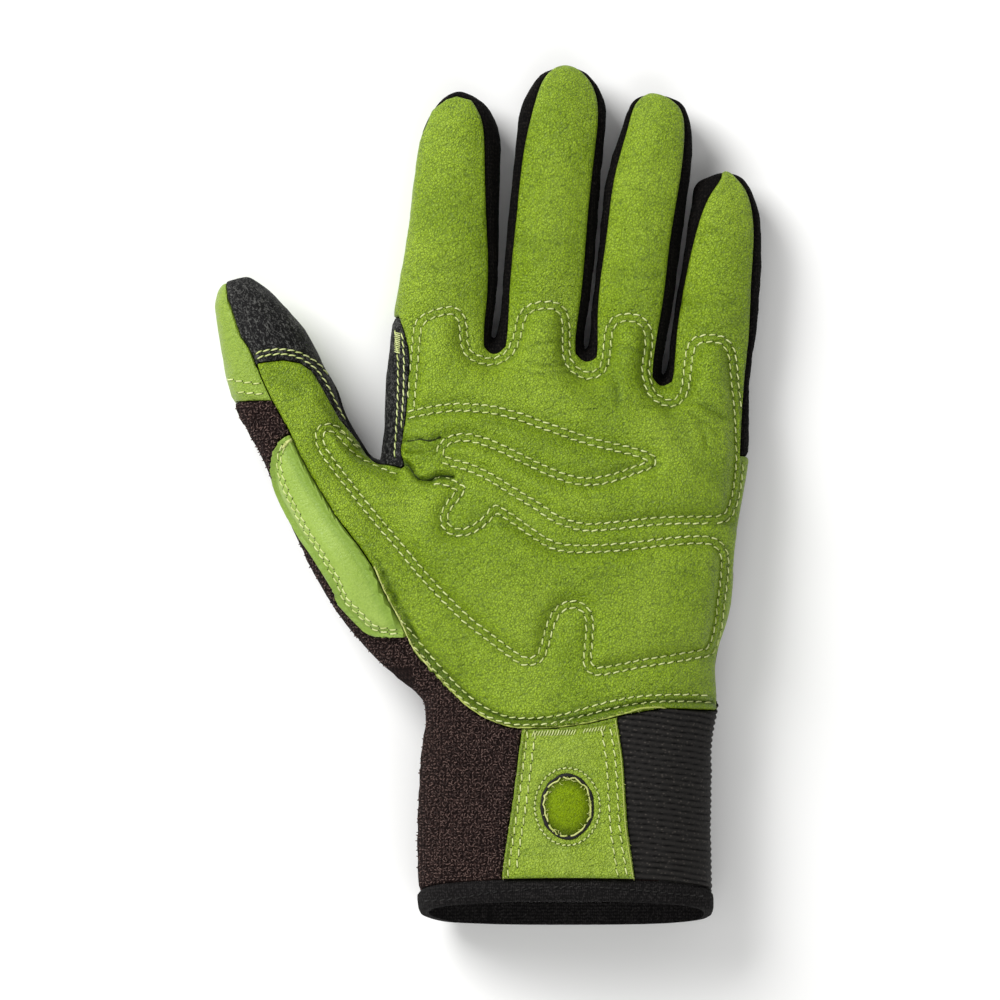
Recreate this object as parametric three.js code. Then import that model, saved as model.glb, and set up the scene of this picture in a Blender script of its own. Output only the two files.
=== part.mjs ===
// Leather work glove for the left hand, lying on its back with the palm up.
// Millimetres: +X towards the little finger, +Y towards the fingertips, +Z out of the palm.
import * as THREE from 'three';

// Driving sizes
const INDEX_WIDTH = 30; // outer edge of the palm to the slot beside the middle finger
const MIDDLE_WIDTH = 26.7; // slot to slot
const RING_WIDTH = 22.8; // slot to slot
const LITTLE_WIDTH = 24.5; // slot to the outer edge of the palm
const INDEX_LENGTH = 73.5;
const MIDDLE_LENGTH = 83.2;
const RING_LENGTH = 80;
const LITTLE_LENGTH = 61.2;
const THUMB_LENGTH = 67; // crotch to tip
const PALM_LENGTH = 100; // wrist to the slot beside the middle finger
const PALM_DEPTH = 34; // at the ball of the thumb
const FINGER_DEPTH = 21;
const THUMB_DEPTH = 25;
const CUFF_WIDTH = 84.5;
const CUFF_LENGTH = 62; // wrist to rim
const CUFF_DEPTH = 37;
const RIM_SLANT = 3; // how far the rim leads at the back and lags at the palm
const HOLE_WIDTH = 14.5;
const HOLE_HEIGHT = 18;
const LEATHER_WALL = 1.6;
const STRETCH_WALL = 1.2;
const TERRY_WALL = 1.8;
const GRIP_WALL = 1.4;
const ELASTIC_WALL = 1.6;
const BINDING_WALL = 2.6;
const TAB_WALL = 2.2;
const INSET_WALL = 1.2;
const GUARD_WALL = 3;
const SEAM_GAP = 0.4; // between neighbouring pieces
const FINGER_GAP = 1; // between neighbouring fingers at the slot
const FLATTENED = 0.9; // how much of the back is pressed flat where it rests

// Shapes of the cross sections: powers of the rounded front and back, and height shares
const FINGER_ROUND = { front: 2.3, back: 2.6 };
const PALM_ROUND = { front: 2.7, back: 3.4 };
const CUFF_ROUND = { front: 2.3, back: 2.8 };
const THUMB_ROUND = 0.9; // power of the sine and cosine of the thumb's rings, below 1 is squarer
const BODY_LEVEL = 0.46; // height of the silhouette in the palm's and cuff's depth
const FINGER_LEVEL = 0.48; // the same in a finger's depth
const BACK_COLUMN = 0.62; // outer columns of a finger's back, in half widths
const SLOT_RISE = 0.16; // how far the slots cut in past the root's front, in finger widths
const CUFF_EDGE = { left: 0.06, right: 0.02 }; // outer columns of the cuff's front from its silhouette

// The tables count the palm in hundredths from the slot beside the index finger
const FINGER_WIDTHS = [INDEX_WIDTH, MIDDLE_WIDTH, RING_WIDTH, LITTLE_WIDTH];
const KNUCKLE_WIDTH = FINGER_WIDTHS.reduce((sum, width) => sum + width, 0);
const ACROSS = KNUCKLE_WIDTH / 1.04;
const OUTER_EDGE = -0.28 * ACROSS;
const WRIST = -0.6 * PALM_LENGTH;
const CUFF_MIDDLE = 0.223 * ACROSS;

// Fingers: where their roots lie along the palm, how far the tip leans in its own width, and cross sections.
// Each section: share of the length, silhouette and leather edges in widths from the axis, depth share.
const FINGERS = [
  {
    width: INDEX_WIDTH, length: INDEX_LENGTH, rootLeft: 0.46, rootRight: 0.43, lean: 0.167,
    sections: [
      { at: 0, left: -0.5, right: 0.485, leatherLeft: -0.367, leatherRight: 0.417, depth: 1.04 },
      { at: 0.22, left: -0.465, right: 0.485, leatherLeft: -0.33, leatherRight: 0.413, depth: 1 },
      { at: 0.49, left: -0.398, right: 0.468, leatherLeft: -0.29, leatherRight: 0.352, depth: 0.98 },
      { at: 0.72, left: -0.37, right: 0.443, leatherLeft: -0.27, leatherRight: 0.3, depth: 0.94 },
      { at: 0.87, left: -0.312, right: 0.382, leatherLeft: -0.225, leatherRight: 0.245, depth: 0.8 },
      { at: 0.965, left: -0.177, right: 0.207, leatherLeft: -0.12, leatherRight: 0.107, depth: 0.44 },
    ],
  },
  {
    width: MIDDLE_WIDTH, length: MIDDLE_LENGTH, rootLeft: 0.43, rootRight: 0.41, lean: 0.275,
    sections: [
      { at: 0, left: -0.48, right: 0.48, leatherLeft: -0.395, leatherRight: 0.399, depth: 1.04 },
      { at: 0.2, left: -0.46, right: 0.49, leatherLeft: -0.404, leatherRight: 0.405, depth: 1 },
      { at: 0.45, left: -0.47, right: 0.5, leatherLeft: -0.4, leatherRight: 0.402, depth: 1 },
      { at: 0.68, left: -0.459, right: 0.49, leatherLeft: -0.384, leatherRight: 0.414, depth: 0.97 },
      { at: 0.86, left: -0.441, right: 0.466, leatherLeft: -0.31, leatherRight: 0.4, depth: 0.84 },
      { at: 0.965, left: -0.28, right: 0.277, leatherLeft: -0.2, leatherRight: 0.23, depth: 0.48 },
    ],
  },
  {
    width: RING_WIDTH, length: RING_LENGTH, rootLeft: 0.4, rootRight: 0.34, lean: 0.346,
    sections: [
      { at: 0, left: -0.48, right: 0.48, leatherLeft: -0.386, leatherRight: 0.36, depth: 1.04 },
      { at: 0.22, left: -0.48, right: 0.53, leatherLeft: -0.44, leatherRight: 0.402, depth: 0.98 },
      { at: 0.46, left: -0.475, right: 0.56, leatherLeft: -0.42, leatherRight: 0.424, depth: 0.98 },
      { at: 0.68, left: -0.475, right: 0.59, leatherLeft: -0.393, leatherRight: 0.475, depth: 0.95 },
      { at: 0.86, left: -0.346, right: 0.553, leatherLeft: -0.29, leatherRight: 0.469, depth: 0.82 },
      { at: 0.96, left: -0.259, right: 0.408, leatherLeft: -0.21, leatherRight: 0.33, depth: 0.48 },
    ],
  },
  {
    width: LITTLE_WIDTH, length: LITTLE_LENGTH, rootLeft: 0.33, rootRight: 0.33, lean: 0.194,
    sections: [
      { at: 0, left: -0.48, right: 0.5, leatherLeft: -0.431, leatherRight: 0.455, depth: 1.04 },
      { at: 0.22, left: -0.44, right: 0.518, leatherLeft: -0.41, leatherRight: 0.469, depth: 0.92 },
      { at: 0.46, left: -0.4, right: 0.535, leatherLeft: -0.363, leatherRight: 0.449, depth: 0.9 },
      { at: 0.68, left: -0.37, right: 0.51, leatherLeft: -0.286, leatherRight: 0.437, depth: 0.86 },
      { at: 0.86, left: -0.35, right: 0.416, leatherLeft: -0.167, leatherRight: 0.351, depth: 0.73 },
      { at: 0.96, left: -0.265, right: 0.265, leatherLeft: -0.03, leatherRight: 0.19, depth: 0.42 },
    ],
  },
];

// Palm rows from under the knuckles to above the wrist, in palm widths, lengths and depths.
// left and right are the silhouette, first and last the outer columns of the front.
const PALM_ROWS = [
  { left: -0.295, first: -0.235, last: 0.742, right: 0.76, alongL: 0.31, alongR: 0.22, depth: 0.76, even: 0.2 },
  { left: -0.3, first: -0.243, last: 0.735, right: 0.757, alongL: 0.18, alongR: 0.11, depth: 0.84, even: 0.4 },
  { left: -0.308, first: -0.24, last: 0.722, right: 0.743, alongL: 0.05, alongR: 0, depth: 0.91, even: 0.6 },
  { left: -0.45, first: -0.25, last: 0.7, right: 0.723, alongL: -0.08, alongR: -0.11, depth: 0.96, even: 0.8 },
  { left: -0.45, first: -0.24, last: 0.69, right: 0.713, alongL: -0.22, alongR: -0.22, depth: 1, even: 1 },
  { left: -0.4, first: -0.195, last: 0.678, right: 0.7, alongL: -0.36, alongR: -0.35, depth: 1, even: 1 },
  { left: -0.275, first: -0.14, last: 0.64, right: 0.663, alongL: -0.49, alongR: -0.48, depth: 1, even: 1 },
];
const CROTCH_ROW = 3; // row that holds the thumb crotch
const THUMB_ROWS = 4; // rows that the thumb's root spans
const CROTCH = { across: -0.318, along: 0.088 };
const THUMB_HEEL = { across: -0.275, along: -0.522 };

// Thumb rings: inner and outer silhouette in thumb lengths from the crotch, height and half depth
const THUMB_RINGS = [
  { inX: -0.06, inY: 0.055, outX: -0.134, outY: -0.7, height: 0.64, half: 0.62 },
  { inX: -0.11, inY: 0.135, outX: -0.29, outY: -0.448, height: 0.64, half: 0.59 },
  { inX: -0.155, inY: 0.22, outX: -0.415, outY: -0.172, height: 0.64, half: 0.55 },
  { inX: -0.187, inY: 0.32, outX: -0.535, outY: 0.09, height: 0.64, half: 0.52 },
  { inX: -0.26, inY: 0.478, outX: -0.625, outY: 0.261, height: 0.65, half: 0.5 },
  { inX: -0.343, inY: 0.612, outX: -0.683, outY: 0.515, height: 0.66, half: 0.45 },
  { inX: -0.447, inY: 0.724, outX: -0.705, outY: 0.694, height: 0.67, half: 0.34 },
  { inX: -0.537, inY: 0.795, outX: -0.675, outY: 0.772, height: 0.67, half: 0.18 },
];
const THUMB_TIP = { x: -0.604, y: 0.8, height: 0.67 };

// Cuff rows: share of the cuff's length, half width and depth shares, how much of the rim's slant they have
const CUFF_ROWS = [
  { at: 0, left: -0.485, right: 0.523, depth: 0.93, slant: 0 },
  { at: 0.16, left: -0.482, right: 0.504, depth: 0.95, slant: 0 },
  { at: 0.4, left: -0.498, right: 0.498, depth: 0.98, slant: 0.15 },
  { at: 0.65, left: -0.504, right: 0.497, depth: 1, slant: 0.5 },
  { at: 0.89, left: -0.498, right: 0.5, depth: 1, slant: 1 },
  { at: 1, left: -0.487, right: 0.501, depth: 0.98, slant: 1 },
];

// Outlines of the pieces as seen from the palm side, in palm widths and lengths
const PATCH_END = 0.515; // top of the index finger's side patch
const PALM_OUTLINE = [
  [-0.31, 0.1], [-0.35, 0.15], [-0.413, 0.22], [-0.475, 0.315], [-0.504, 0.355], [-0.54, 0.375],
  [-0.59, 0.382], [-0.67, 0.372], [-0.655, 0.33], [-0.625, 0.265], [-0.582, 0.19], [-0.545, 0.11],
  [-0.51, 0.045], [-0.44, -0.07], [-0.37, -0.16], [-0.33, -0.22], [-0.3, -0.29], [-0.25, -0.385],
  [-0.22, -0.45], [-0.18, -0.5], [-0.1, -0.585], [-0.045, -0.634], [0, -0.66], [0.05, -0.679],
  [0.1, -0.687], [0.2, -0.685], [0.3, -0.67], [0.4, -0.645], [0.5, -0.628], [0.9, -0.635], [0.9, 0.2],
  [0.9, 1.5], [-0.5, 1.5], [-0.5, PATCH_END], [-0.26, PATCH_END], [-0.24, 0.455], [-0.228, 0.4], [-0.23, 0.35],
  [-0.24, 0.22], [-0.254, 0.12], [-0.242, 0.07], [-0.27, 0.08],
];
const COVER_OUTLINE = [
  [-0.31, 0.02], [-0.44, 0.15], [-0.52, 0.3], [-0.6, 0.345], [-0.668, 0.35], [-0.672, 0.372], [-0.69, 0.415],
  [-0.716, 0.45], [-0.735, 0.51], [-0.754, 0.56], [-0.76, 0.615], [-0.76, 0.8], [-0.2, 0.8], [-0.2, 0.02],
];
const GUARD_OUTLINE = [
  [-0.575, 0.165], [-0.6, 0.15], [-0.617, 0.125], [-0.624, 0.08], [-0.615, 0.03], [-0.595, -0.02],
  [-0.57, -0.07], [-0.54, -0.125], [-0.51, -0.17], [-0.48, -0.22], [-0.45, -0.27], [-0.43, -0.32],
  [-0.39, -0.362], [-0.348, -0.404], [-0.307, -0.421], [-0.23, -0.42], [-0.2, -0.3], [-0.3, 0.1],
];
const CAP_HEM = 0.262; // along the thumb's outer side, in palm lengths
const TAB_OUTLINE = [
  [-0.13, -0.1], [-0.146, 0.137], [-0.163, 0.323], [-0.175, 0.452], [-0.205, 0.726], [-0.22, 0.9],
  [-0.22, 1.2], [0.25, 1.2], [0.24, 0.87], [0.212, 0.597], [0.198, 0.29], [0.178, 0.097], [0.17, -0.1],
];
const HOLE_CENTRE = { across: 0.008, along: 0.5 };
const ELASTIC_BACK_EDGE = 0.33; // of the cuff's width, on the hidden side
const INDEX_TIP_OUTLINE = [
  [-0.7, 0.81], [-0.345, 0.81], [-0.253, 0.918], [-0.127, 0.963], [-0.03, 0.975], [0.143, 0.955],
  [0.3, 0.9], [0.7, 0.9], [0.7, 1.3], [-0.7, 1.3],
];

// Every ring of the palm runs from the left side over the front to the right side and back underneath
const FRONT_COLUMNS = 12;
const RING_SIZE = 2 * FRONT_COLUMNS + 2;
const FINGER_ORDER = ['left', 'frontLeft', 'front', 'frontRight', 'right', 'backRight', 'back', 'backLeft'];

const mix = (a, b, t) => a + (b - a) * t;
const roundness = (t, power) => (1 - Math.min(1, Math.abs(t)) ** power) ** (1 / power);

// Cage of quads whose smooth surface passes through its points

const cage = { points: [], faces: [] };

function addPoint(x, y, z) {
  cage.points.push([x, y, z]);
  return cage.points.length - 1;
}

// Corners are given clockwise as seen from outside and kept the other way round
function addFace(tag, ...corners) {
  cage.faces.push({ corners: corners.reverse(), tag });
}

// Cross section between two silhouette points: a rounded front half and a flatter back half
function crossSection(left, right, top, round) {
  const middle = (left + right) / 2;
  const half = (right - left) / 2;
  const level = BODY_LEVEL * top;
  return {
    left, right, level,
    front: (x) => level + (top - level) * roundness((x - middle) / half, round.front),
    back: (x) => level - (level + FLATTENED) * roundness((x - middle) / half, round.back),
  };
}

// Place of each finger's root: slot lines add up from the finger widths
let slotLine = OUTER_EDGE;
for (const finger of FINGERS) {
  finger.rootX = slotLine + finger.width / 2;
  slotLine += finger.width;
  finger.rootY = ((finger.rootLeft + finger.rootRight) / 2) * PALM_LENGTH;
}

function fingerSection(finger, row) {
  const axis = finger.rootX + finger.lean * finger.width * row.at;
  const y = finger.rootY + finger.length * row.at;
  const top = FINGER_DEPTH * (0.5 + row.depth / 2);
  const bottom = FINGER_DEPTH * (0.5 - row.depth / 2);
  const left = axis + row.left * finger.width;
  const right = axis + row.right * finger.width;
  const middle = (left + right) / 2;
  const half = (right - left) / 2;
  const level = FINGER_DEPTH * FINGER_LEVEL;
  const front = (x) => level + (top - level) * roundness((x - middle) / half, FINGER_ROUND.front);
  const back = (x) => level - (level - bottom + FLATTENED) * roundness((x - middle) / half, FINGER_ROUND.back);
  return { axis, y, left, right, middle, half, level, front, back };
}

function fingerRing(finger, row) {
  const s = fingerSection(finger, row);
  const frontLeft = s.axis + row.leatherLeft * finger.width;
  const frontRight = s.axis + row.leatherRight * finger.width;
  const frontMiddle = (frontLeft + frontRight) / 2;
  const backLeft = s.middle - BACK_COLUMN * s.half;
  const backRight = s.middle + BACK_COLUMN * s.half;
  return [
    addPoint(s.left, s.y, s.level),
    addPoint(frontLeft, s.y, s.front(frontLeft)),
    addPoint(frontMiddle, s.y, s.front(frontMiddle)),
    addPoint(frontRight, s.y, s.front(frontRight)),
    addPoint(s.right, s.y, s.level),
    addPoint(backRight, s.y, s.back(backRight)),
    addPoint(s.middle, s.y, s.back(s.middle)),
    addPoint(backLeft, s.y, s.back(backLeft)),
  ];
}

// Root ring of a finger: its front and back points belong to the palm's first row as well
function rootRing(finger, index) {
  const row = finger.sections[0];
  const s = fingerSection(finger, row);
  const alongLeft = finger.rootLeft * PALM_LENGTH;
  const alongRight = finger.rootRight * PALM_LENGTH;
  const xs = [row.leatherLeft, (row.leatherLeft + row.leatherRight) / 2, row.leatherRight];
  const along = [alongLeft, (alongLeft + alongRight) / 2, alongRight];
  const front = xs.map((share, i) => {
    const x = s.axis + share * finger.width;
    return addPoint(x, along[i], s.front(x));
  });
  const back = xs.map((share, i) => {
    const x = s.axis + share * finger.width;
    return addPoint(x, along[i], s.back(x));
  });
  const slotRise = SLOT_RISE * finger.width;
  const leftX = index === 0 ? s.left : finger.rootX - finger.width / 2 + FINGER_GAP / 2;
  const isLast = index === FINGERS.length - 1;
  const rightX = isLast ? s.right : finger.rootX + finger.width / 2 - FINGER_GAP / 2;
  const left = addPoint(leftX, alongLeft + (index === 0 ? 0 : slotRise), s.level);
  const right = addPoint(rightX, alongRight + (isLast ? 0 : slotRise), s.level);
  return [left, front[0], front[1], front[2], right, back[2], back[1], back[0]];
}

const fingerRoots = FINGERS.map(rootRing);

FINGERS.forEach((finger, index) => {
  const rings = [fingerRoots[index], ...finger.sections.slice(1).map((row) => fingerRing(finger, row))];
  for (let k = 0; k + 1 < rings.length; k++) {
    const low = rings[k];
    const high = rings[k + 1];
    for (let j = 0; j < 8; j++) {
      const next = (j + 1) % 8;
      const tag = { zone: 'finger', finger: index, column: FINGER_ORDER[j], row: k };
      addFace(tag, low[next], low[j], high[j], high[next]);
    }
  }
  const end = rings[rings.length - 1];
  const tip = addPoint(
    finger.rootX + finger.lean * finger.width, finger.rootY + finger.length, FINGER_DEPTH * FINGER_LEVEL);
  ['frontLeft', 'frontRight', 'backRight', 'backLeft'].forEach((column, m) => {
    const first = 2 * m + 1;
    const tag = { zone: 'finger', finger: index, column, row: rings.length - 1 };
    addFace(tag, end[(first + 2) % 8], end[(first + 1) % 8], end[first], tip);
  });
});

for (let i = 0; i + 1 < FINGERS.length; i++) {
  const [, , , frontRight, right, backRight] = fingerRoots[i];
  const nextRoot = fingerRoots[i + 1];
  const tag = { zone: 'slot', finger: i };
  addFace(tag, nextRoot[1], frontRight, right, nextRoot[0]);
  addFace(tag, nextRoot[0], right, backRight, nextRoot[7]);
}

// Palm rows under the fingers
const LEFT = FINGER_ORDER.indexOf('left');
const RIGHT = FINGER_ORDER.indexOf('right');
const knuckleRow = [
  fingerRoots[0][LEFT],
  ...fingerRoots.flatMap((root) => [root[1], root[2], root[3]]),
  fingerRoots[FINGERS.length - 1][RIGHT],
  ...[...fingerRoots].reverse().flatMap((root) => [root[5], root[6], root[7]]),
];
const knuckleX = knuckleRow.slice(1, 1 + FRONT_COLUMNS).map((id) => cage.points[id][0]);
const knuckleShares = knuckleX.map((x) => (x - knuckleX[0]) / (knuckleX[FRONT_COLUMNS - 1] - knuckleX[0]));

function ringPoints(section, columns, yAt, slant) {
  const lean = (z) => (slant * (z - section.level)) / section.level;
  const front = columns.map((x, j) => {
    const z = section.front(x);
    return addPoint(x, yAt(j / (FRONT_COLUMNS - 1)) + lean(z), z);
  });
  const back = columns.map((x, j) => {
    const z = section.back(x);
    return addPoint(x, yAt(j / (FRONT_COLUMNS - 1)) + lean(z), z);
  });
  const left = addPoint(section.left, yAt(0), section.level);
  const right = addPoint(section.right, yAt(1), section.level);
  return [left, ...front, right, ...back.reverse()];
}

const palmRows = PALM_ROWS.map((row, k) => {
  const first = row.first * ACROSS;
  const last = row.last * ACROSS;
  const columns = knuckleShares.map((share, j) => {
    const evenShare = j / (FRONT_COLUMNS - 1);
    return mix(first, last, mix(share, evenShare, row.even));
  });
  const yAt = (t) => mix(row.alongL, row.alongR, t) * PALM_LENGTH;
  const section = crossSection(row.left * ACROSS, row.right * ACROSS, row.depth * PALM_DEPTH, PALM_ROUND);
  const ring = ringPoints(section, columns, yAt, 0);
  const level = section.level;
  if (k + 1 === CROTCH_ROW) {
    cage.points[ring[0]] = [CROTCH.across * ACROSS, CROTCH.along * PALM_LENGTH, level];
  }
  if (k + 1 === CROTCH_ROW + THUMB_ROWS) {
    cage.points[ring[0]] = [THUMB_HEEL.across * ACROSS, THUMB_HEEL.along * PALM_LENGTH, level];
  }
  return ring;
});

const cuffRows = CUFF_ROWS.map((row) => {
  const left = CUFF_MIDDLE + row.left * CUFF_WIDTH;
  const right = CUFF_MIDDLE + row.right * CUFF_WIDTH;
  const section = crossSection(left, right, row.depth * CUFF_DEPTH, CUFF_ROUND);
  const first = left + CUFF_EDGE.left * CUFF_WIDTH;
  const last = right - CUFF_EDGE.right * CUFF_WIDTH;
  const columns = knuckleX.map((x, j) => mix(first, last, j / (FRONT_COLUMNS - 1)));
  return ringPoints(section, columns, () => WRIST - row.at * CUFF_LENGTH, row.slant * RIM_SLANT);
});

const bodyRows = [knuckleRow, ...palmRows, ...cuffRows];
const firstCuffRow = 1 + palmRows.length;
for (let k = 0; k + 1 < bodyRows.length; k++) {
  for (let j = 0; j < RING_SIZE; j++) {
    const besideThumb = k >= CROTCH_ROW && k < CROTCH_ROW + THUMB_ROWS;
    if (besideThumb && (j === 0 || j === RING_SIZE - 1)) continue;
    const next = (j + 1) % RING_SIZE;
    const tag = { zone: k < firstCuffRow ? 'palm' : 'cuff', column: j, row: k };
    addFace(tag, bodyRows[k][j], bodyRows[k][next], bodyRows[k + 1][next], bodyRows[k + 1][j]);
  }
}

// Thumb: rings of twelve points from the opening in the palm's left side to the tip
const THUMB_SIDES = 4 + 2 * THUMB_ROWS;
const thumbRoot = [bodyRows[CROTCH_ROW][0]];
for (let k = CROTCH_ROW; k <= CROTCH_ROW + THUMB_ROWS; k++) thumbRoot.push(bodyRows[k][1]);
thumbRoot.push(bodyRows[CROTCH_ROW + THUMB_ROWS][0]);
for (let k = CROTCH_ROW + THUMB_ROWS; k >= CROTCH_ROW; k--) thumbRoot.push(bodyRows[k][RING_SIZE - 1]);

const crotchX = CROTCH.across * ACROSS;
const crotchY = CROTCH.along * PALM_LENGTH;
const thumbRings = [thumbRoot];
for (const ring of THUMB_RINGS) {
  const ids = [];
  for (let j = 0; j < THUMB_SIDES; j++) {
    const angle = (2 * Math.PI * j) / THUMB_SIDES;
    const side = Math.sign(Math.cos(angle)) * Math.pow(Math.abs(Math.cos(angle)), THUMB_ROUND);
    const rise = Math.sign(Math.sin(angle)) * Math.pow(Math.abs(Math.sin(angle)), THUMB_ROUND);
    const t = 0.5 - side / 2;
    ids.push(addPoint(
      crotchX + mix(ring.inX, ring.outX, t) * THUMB_LENGTH,
      crotchY + mix(ring.inY, ring.outY, t) * THUMB_LENGTH,
      (ring.height + ring.half * rise) * THUMB_DEPTH));
  }
  thumbRings.push(ids);
}
for (let k = 0; k + 1 < thumbRings.length; k++) {
  for (let j = 0; j < THUMB_SIDES; j++) {
    const next = (j + 1) % THUMB_SIDES;
    const tag = { zone: 'thumb', column: j, row: k };
    addFace(tag, thumbRings[k][j], thumbRings[k][next], thumbRings[k + 1][next], thumbRings[k + 1][j]);
  }
}
const thumbEnd = thumbRings[thumbRings.length - 1];
const thumbTip = addPoint(
  crotchX + THUMB_TIP.x * THUMB_LENGTH, crotchY + THUMB_TIP.y * THUMB_LENGTH, THUMB_TIP.height * THUMB_DEPTH);
for (let j = 0; j < THUMB_SIDES; j += 2) {
  const tag = { zone: 'thumb', column: j, row: thumbRings.length - 1 };
  addFace(tag, thumbEnd[j], thumbEnd[j + 1], thumbEnd[(j + 2) % THUMB_SIDES], thumbTip);
}

// Smooth subdivision of the cage

const ID_RANGE = 65536; // more than the number of points
const edgeKey = (a, b) => (a < b ? a * ID_RANGE + b : b * ID_RANGE + a);

function connect(mesh) {
  const edges = new Map();
  const around = mesh.points.map(() => ({ neighbours: [], opposite: [], border: [] }));
  for (const [index, face] of mesh.faces.entries()) {
    const c = face.corners;
    c.forEach((a, i) => {
      const b = c[(i + 1) % 4];
      const key = edgeKey(a, b);
      if (!edges.has(key)) edges.set(key, { a, b, faces: [] });
      edges.get(key).faces.push(index);
      around[a].opposite.push(c[(i + 2) % 4]);
    });
  }
  for (const edge of edges.values()) {
    around[edge.a].neighbours.push(edge.b);
    around[edge.b].neighbours.push(edge.a);
    if (edge.faces.length === 1) {
      around[edge.a].border.push(edge.b);
      around[edge.b].border.push(edge.a);
    }
  }
  return { edges, around };
}

function weighted(points, terms) {
  const sum = [0, 0, 0];
  for (const [weight, id] of terms) {
    for (let axis = 0; axis < 3; axis++) sum[axis] += weight * points[id][axis];
  }
  return sum;
}

// Point of the smooth surface that each cage point goes to
function limitPoints(mesh, around) {
  return mesh.points.map((point, id) => {
    const { neighbours, opposite, border } = around[id];
    if (border.length) {
      return weighted(mesh.points, [[4 / 6, id], [1 / 6, border[0]], [1 / 6, border[1]]]);
    }
    const n = neighbours.length;
    const scale = 1 / (n * (n + 5));
    const terms = [[n * n * scale, id]];
    for (const other of neighbours) terms.push([4 * scale, other]);
    for (const other of opposite) terms.push([scale, other]);
    return weighted(mesh.points, terms);
  });
}

const FITTING_ROUNDS = 24;

// Moves the cage until its smooth surface passes through the points given
function passThrough(mesh) {
  const targets = mesh.points.map((point) => [...point]);
  const { around } = connect(mesh);
  for (let round = 0; round < FITTING_ROUNDS; round++) {
    const reached = limitPoints(mesh, around);
    mesh.points = mesh.points.map((point, id) => {
      return point.map((v, axis) => v + targets[id][axis] - reached[id][axis]);
    });
  }
}

function subdivide(mesh) {
  const { edges, around } = connect(mesh);
  const facePoints = mesh.faces.map((face) => weighted(mesh.points, face.corners.map((id) => [0.25, id])));
  const points = mesh.points.map((point, id) => {
    const { neighbours, opposite, border } = around[id];
    if (border.length) {
      return weighted(mesh.points, [[6 / 8, id], [1 / 8, border[0]], [1 / 8, border[1]]]);
    }
    const n = neighbours.length;
    const terms = [[1 - 7 / (4 * n), id]];
    for (const other of neighbours) terms.push([3 / (2 * n * n), other]);
    for (const other of opposite) terms.push([1 / (4 * n * n), other]);
    return weighted(mesh.points, terms);
  });
  const edgeIds = new Map();
  for (const [key, edge] of edges) {
    const middle = weighted(mesh.points, [[0.5, edge.a], [0.5, edge.b]]);
    edgeIds.set(key, points.length);
    if (edge.faces.length === 1) points.push(middle);
    else {
      const [f, g] = edge.faces.map((index) => facePoints[index]);
      points.push(middle.map((v, axis) => v / 2 + (f[axis] + g[axis]) / 4));
    }
  }
  const faces = [];
  mesh.faces.forEach((face, index) => {
    const centre = points.length;
    points.push(facePoints[index]);
    const c = face.corners;
    c.forEach((a, i) => {
      const ahead = edgeIds.get(edgeKey(a, c[(i + 1) % 4]));
      const behind = edgeIds.get(edgeKey(a, c[(i + 3) % 4]));
      faces.push({ corners: [a, ahead, centre, behind], tag: face.tag });
    });
  });
  return { points, faces };
}

function vertexNormals(points, faces) {
  const normals = points.map(() => new THREE.Vector3());
  const p = (id) => new THREE.Vector3(...points[id]);
  for (const { corners: c } of faces) {
    const normal = p(c[2]).sub(p(c[0])).cross(p(c[3]).sub(p(c[1])));
    for (const id of c) normals[id].add(normal);
  }
  return normals.map((normal) => normal.normalize());
}

passThrough(cage);
const coarse = subdivide(cage);
const fine = subdivide(coarse);

function rested(mesh) {
  const points = limitPoints(mesh, connect(mesh).around);
  return points.map(([x, y, z]) => [x, y, Math.max(z, 0)]);
}

const surface = {
  points: rested(coarse),
  normals: vertexNormals(rested(fine), fine.faces).slice(0, coarse.points.length),
  faces: coarse.faces.map((face) => ({ corners: face.corners, label: '', tag: face.tag })),
};

// Cutting the surface into panels

// Signed distance to a closed outline, positive inside
function insideOutline(outline) {
  return ([x, y]) => {
    let best = Infinity;
    let inside = false;
    outline.forEach(([x1, y1], i) => {
      const [x2, y2] = outline[(i + 1) % outline.length];
      const t = THREE.MathUtils.clamp(
        ((x - x1) * (x2 - x1) + (y - y1) * (y2 - y1)) / ((x2 - x1) ** 2 + (y2 - y1) ** 2), 0, 1);
      best = Math.min(best, Math.hypot(x - mix(x1, x2, t), y - mix(y1, y2, t)));
      if (y1 > y !== y2 > y && x < x1 + ((y - y1) / (y2 - y1)) * (x2 - x1)) inside = !inside;
    });
    return inside ? best : -best;
  };
}

const SNAP = 0.2; // a corner this near to a cut, in edge lengths, moves onto it

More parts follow.
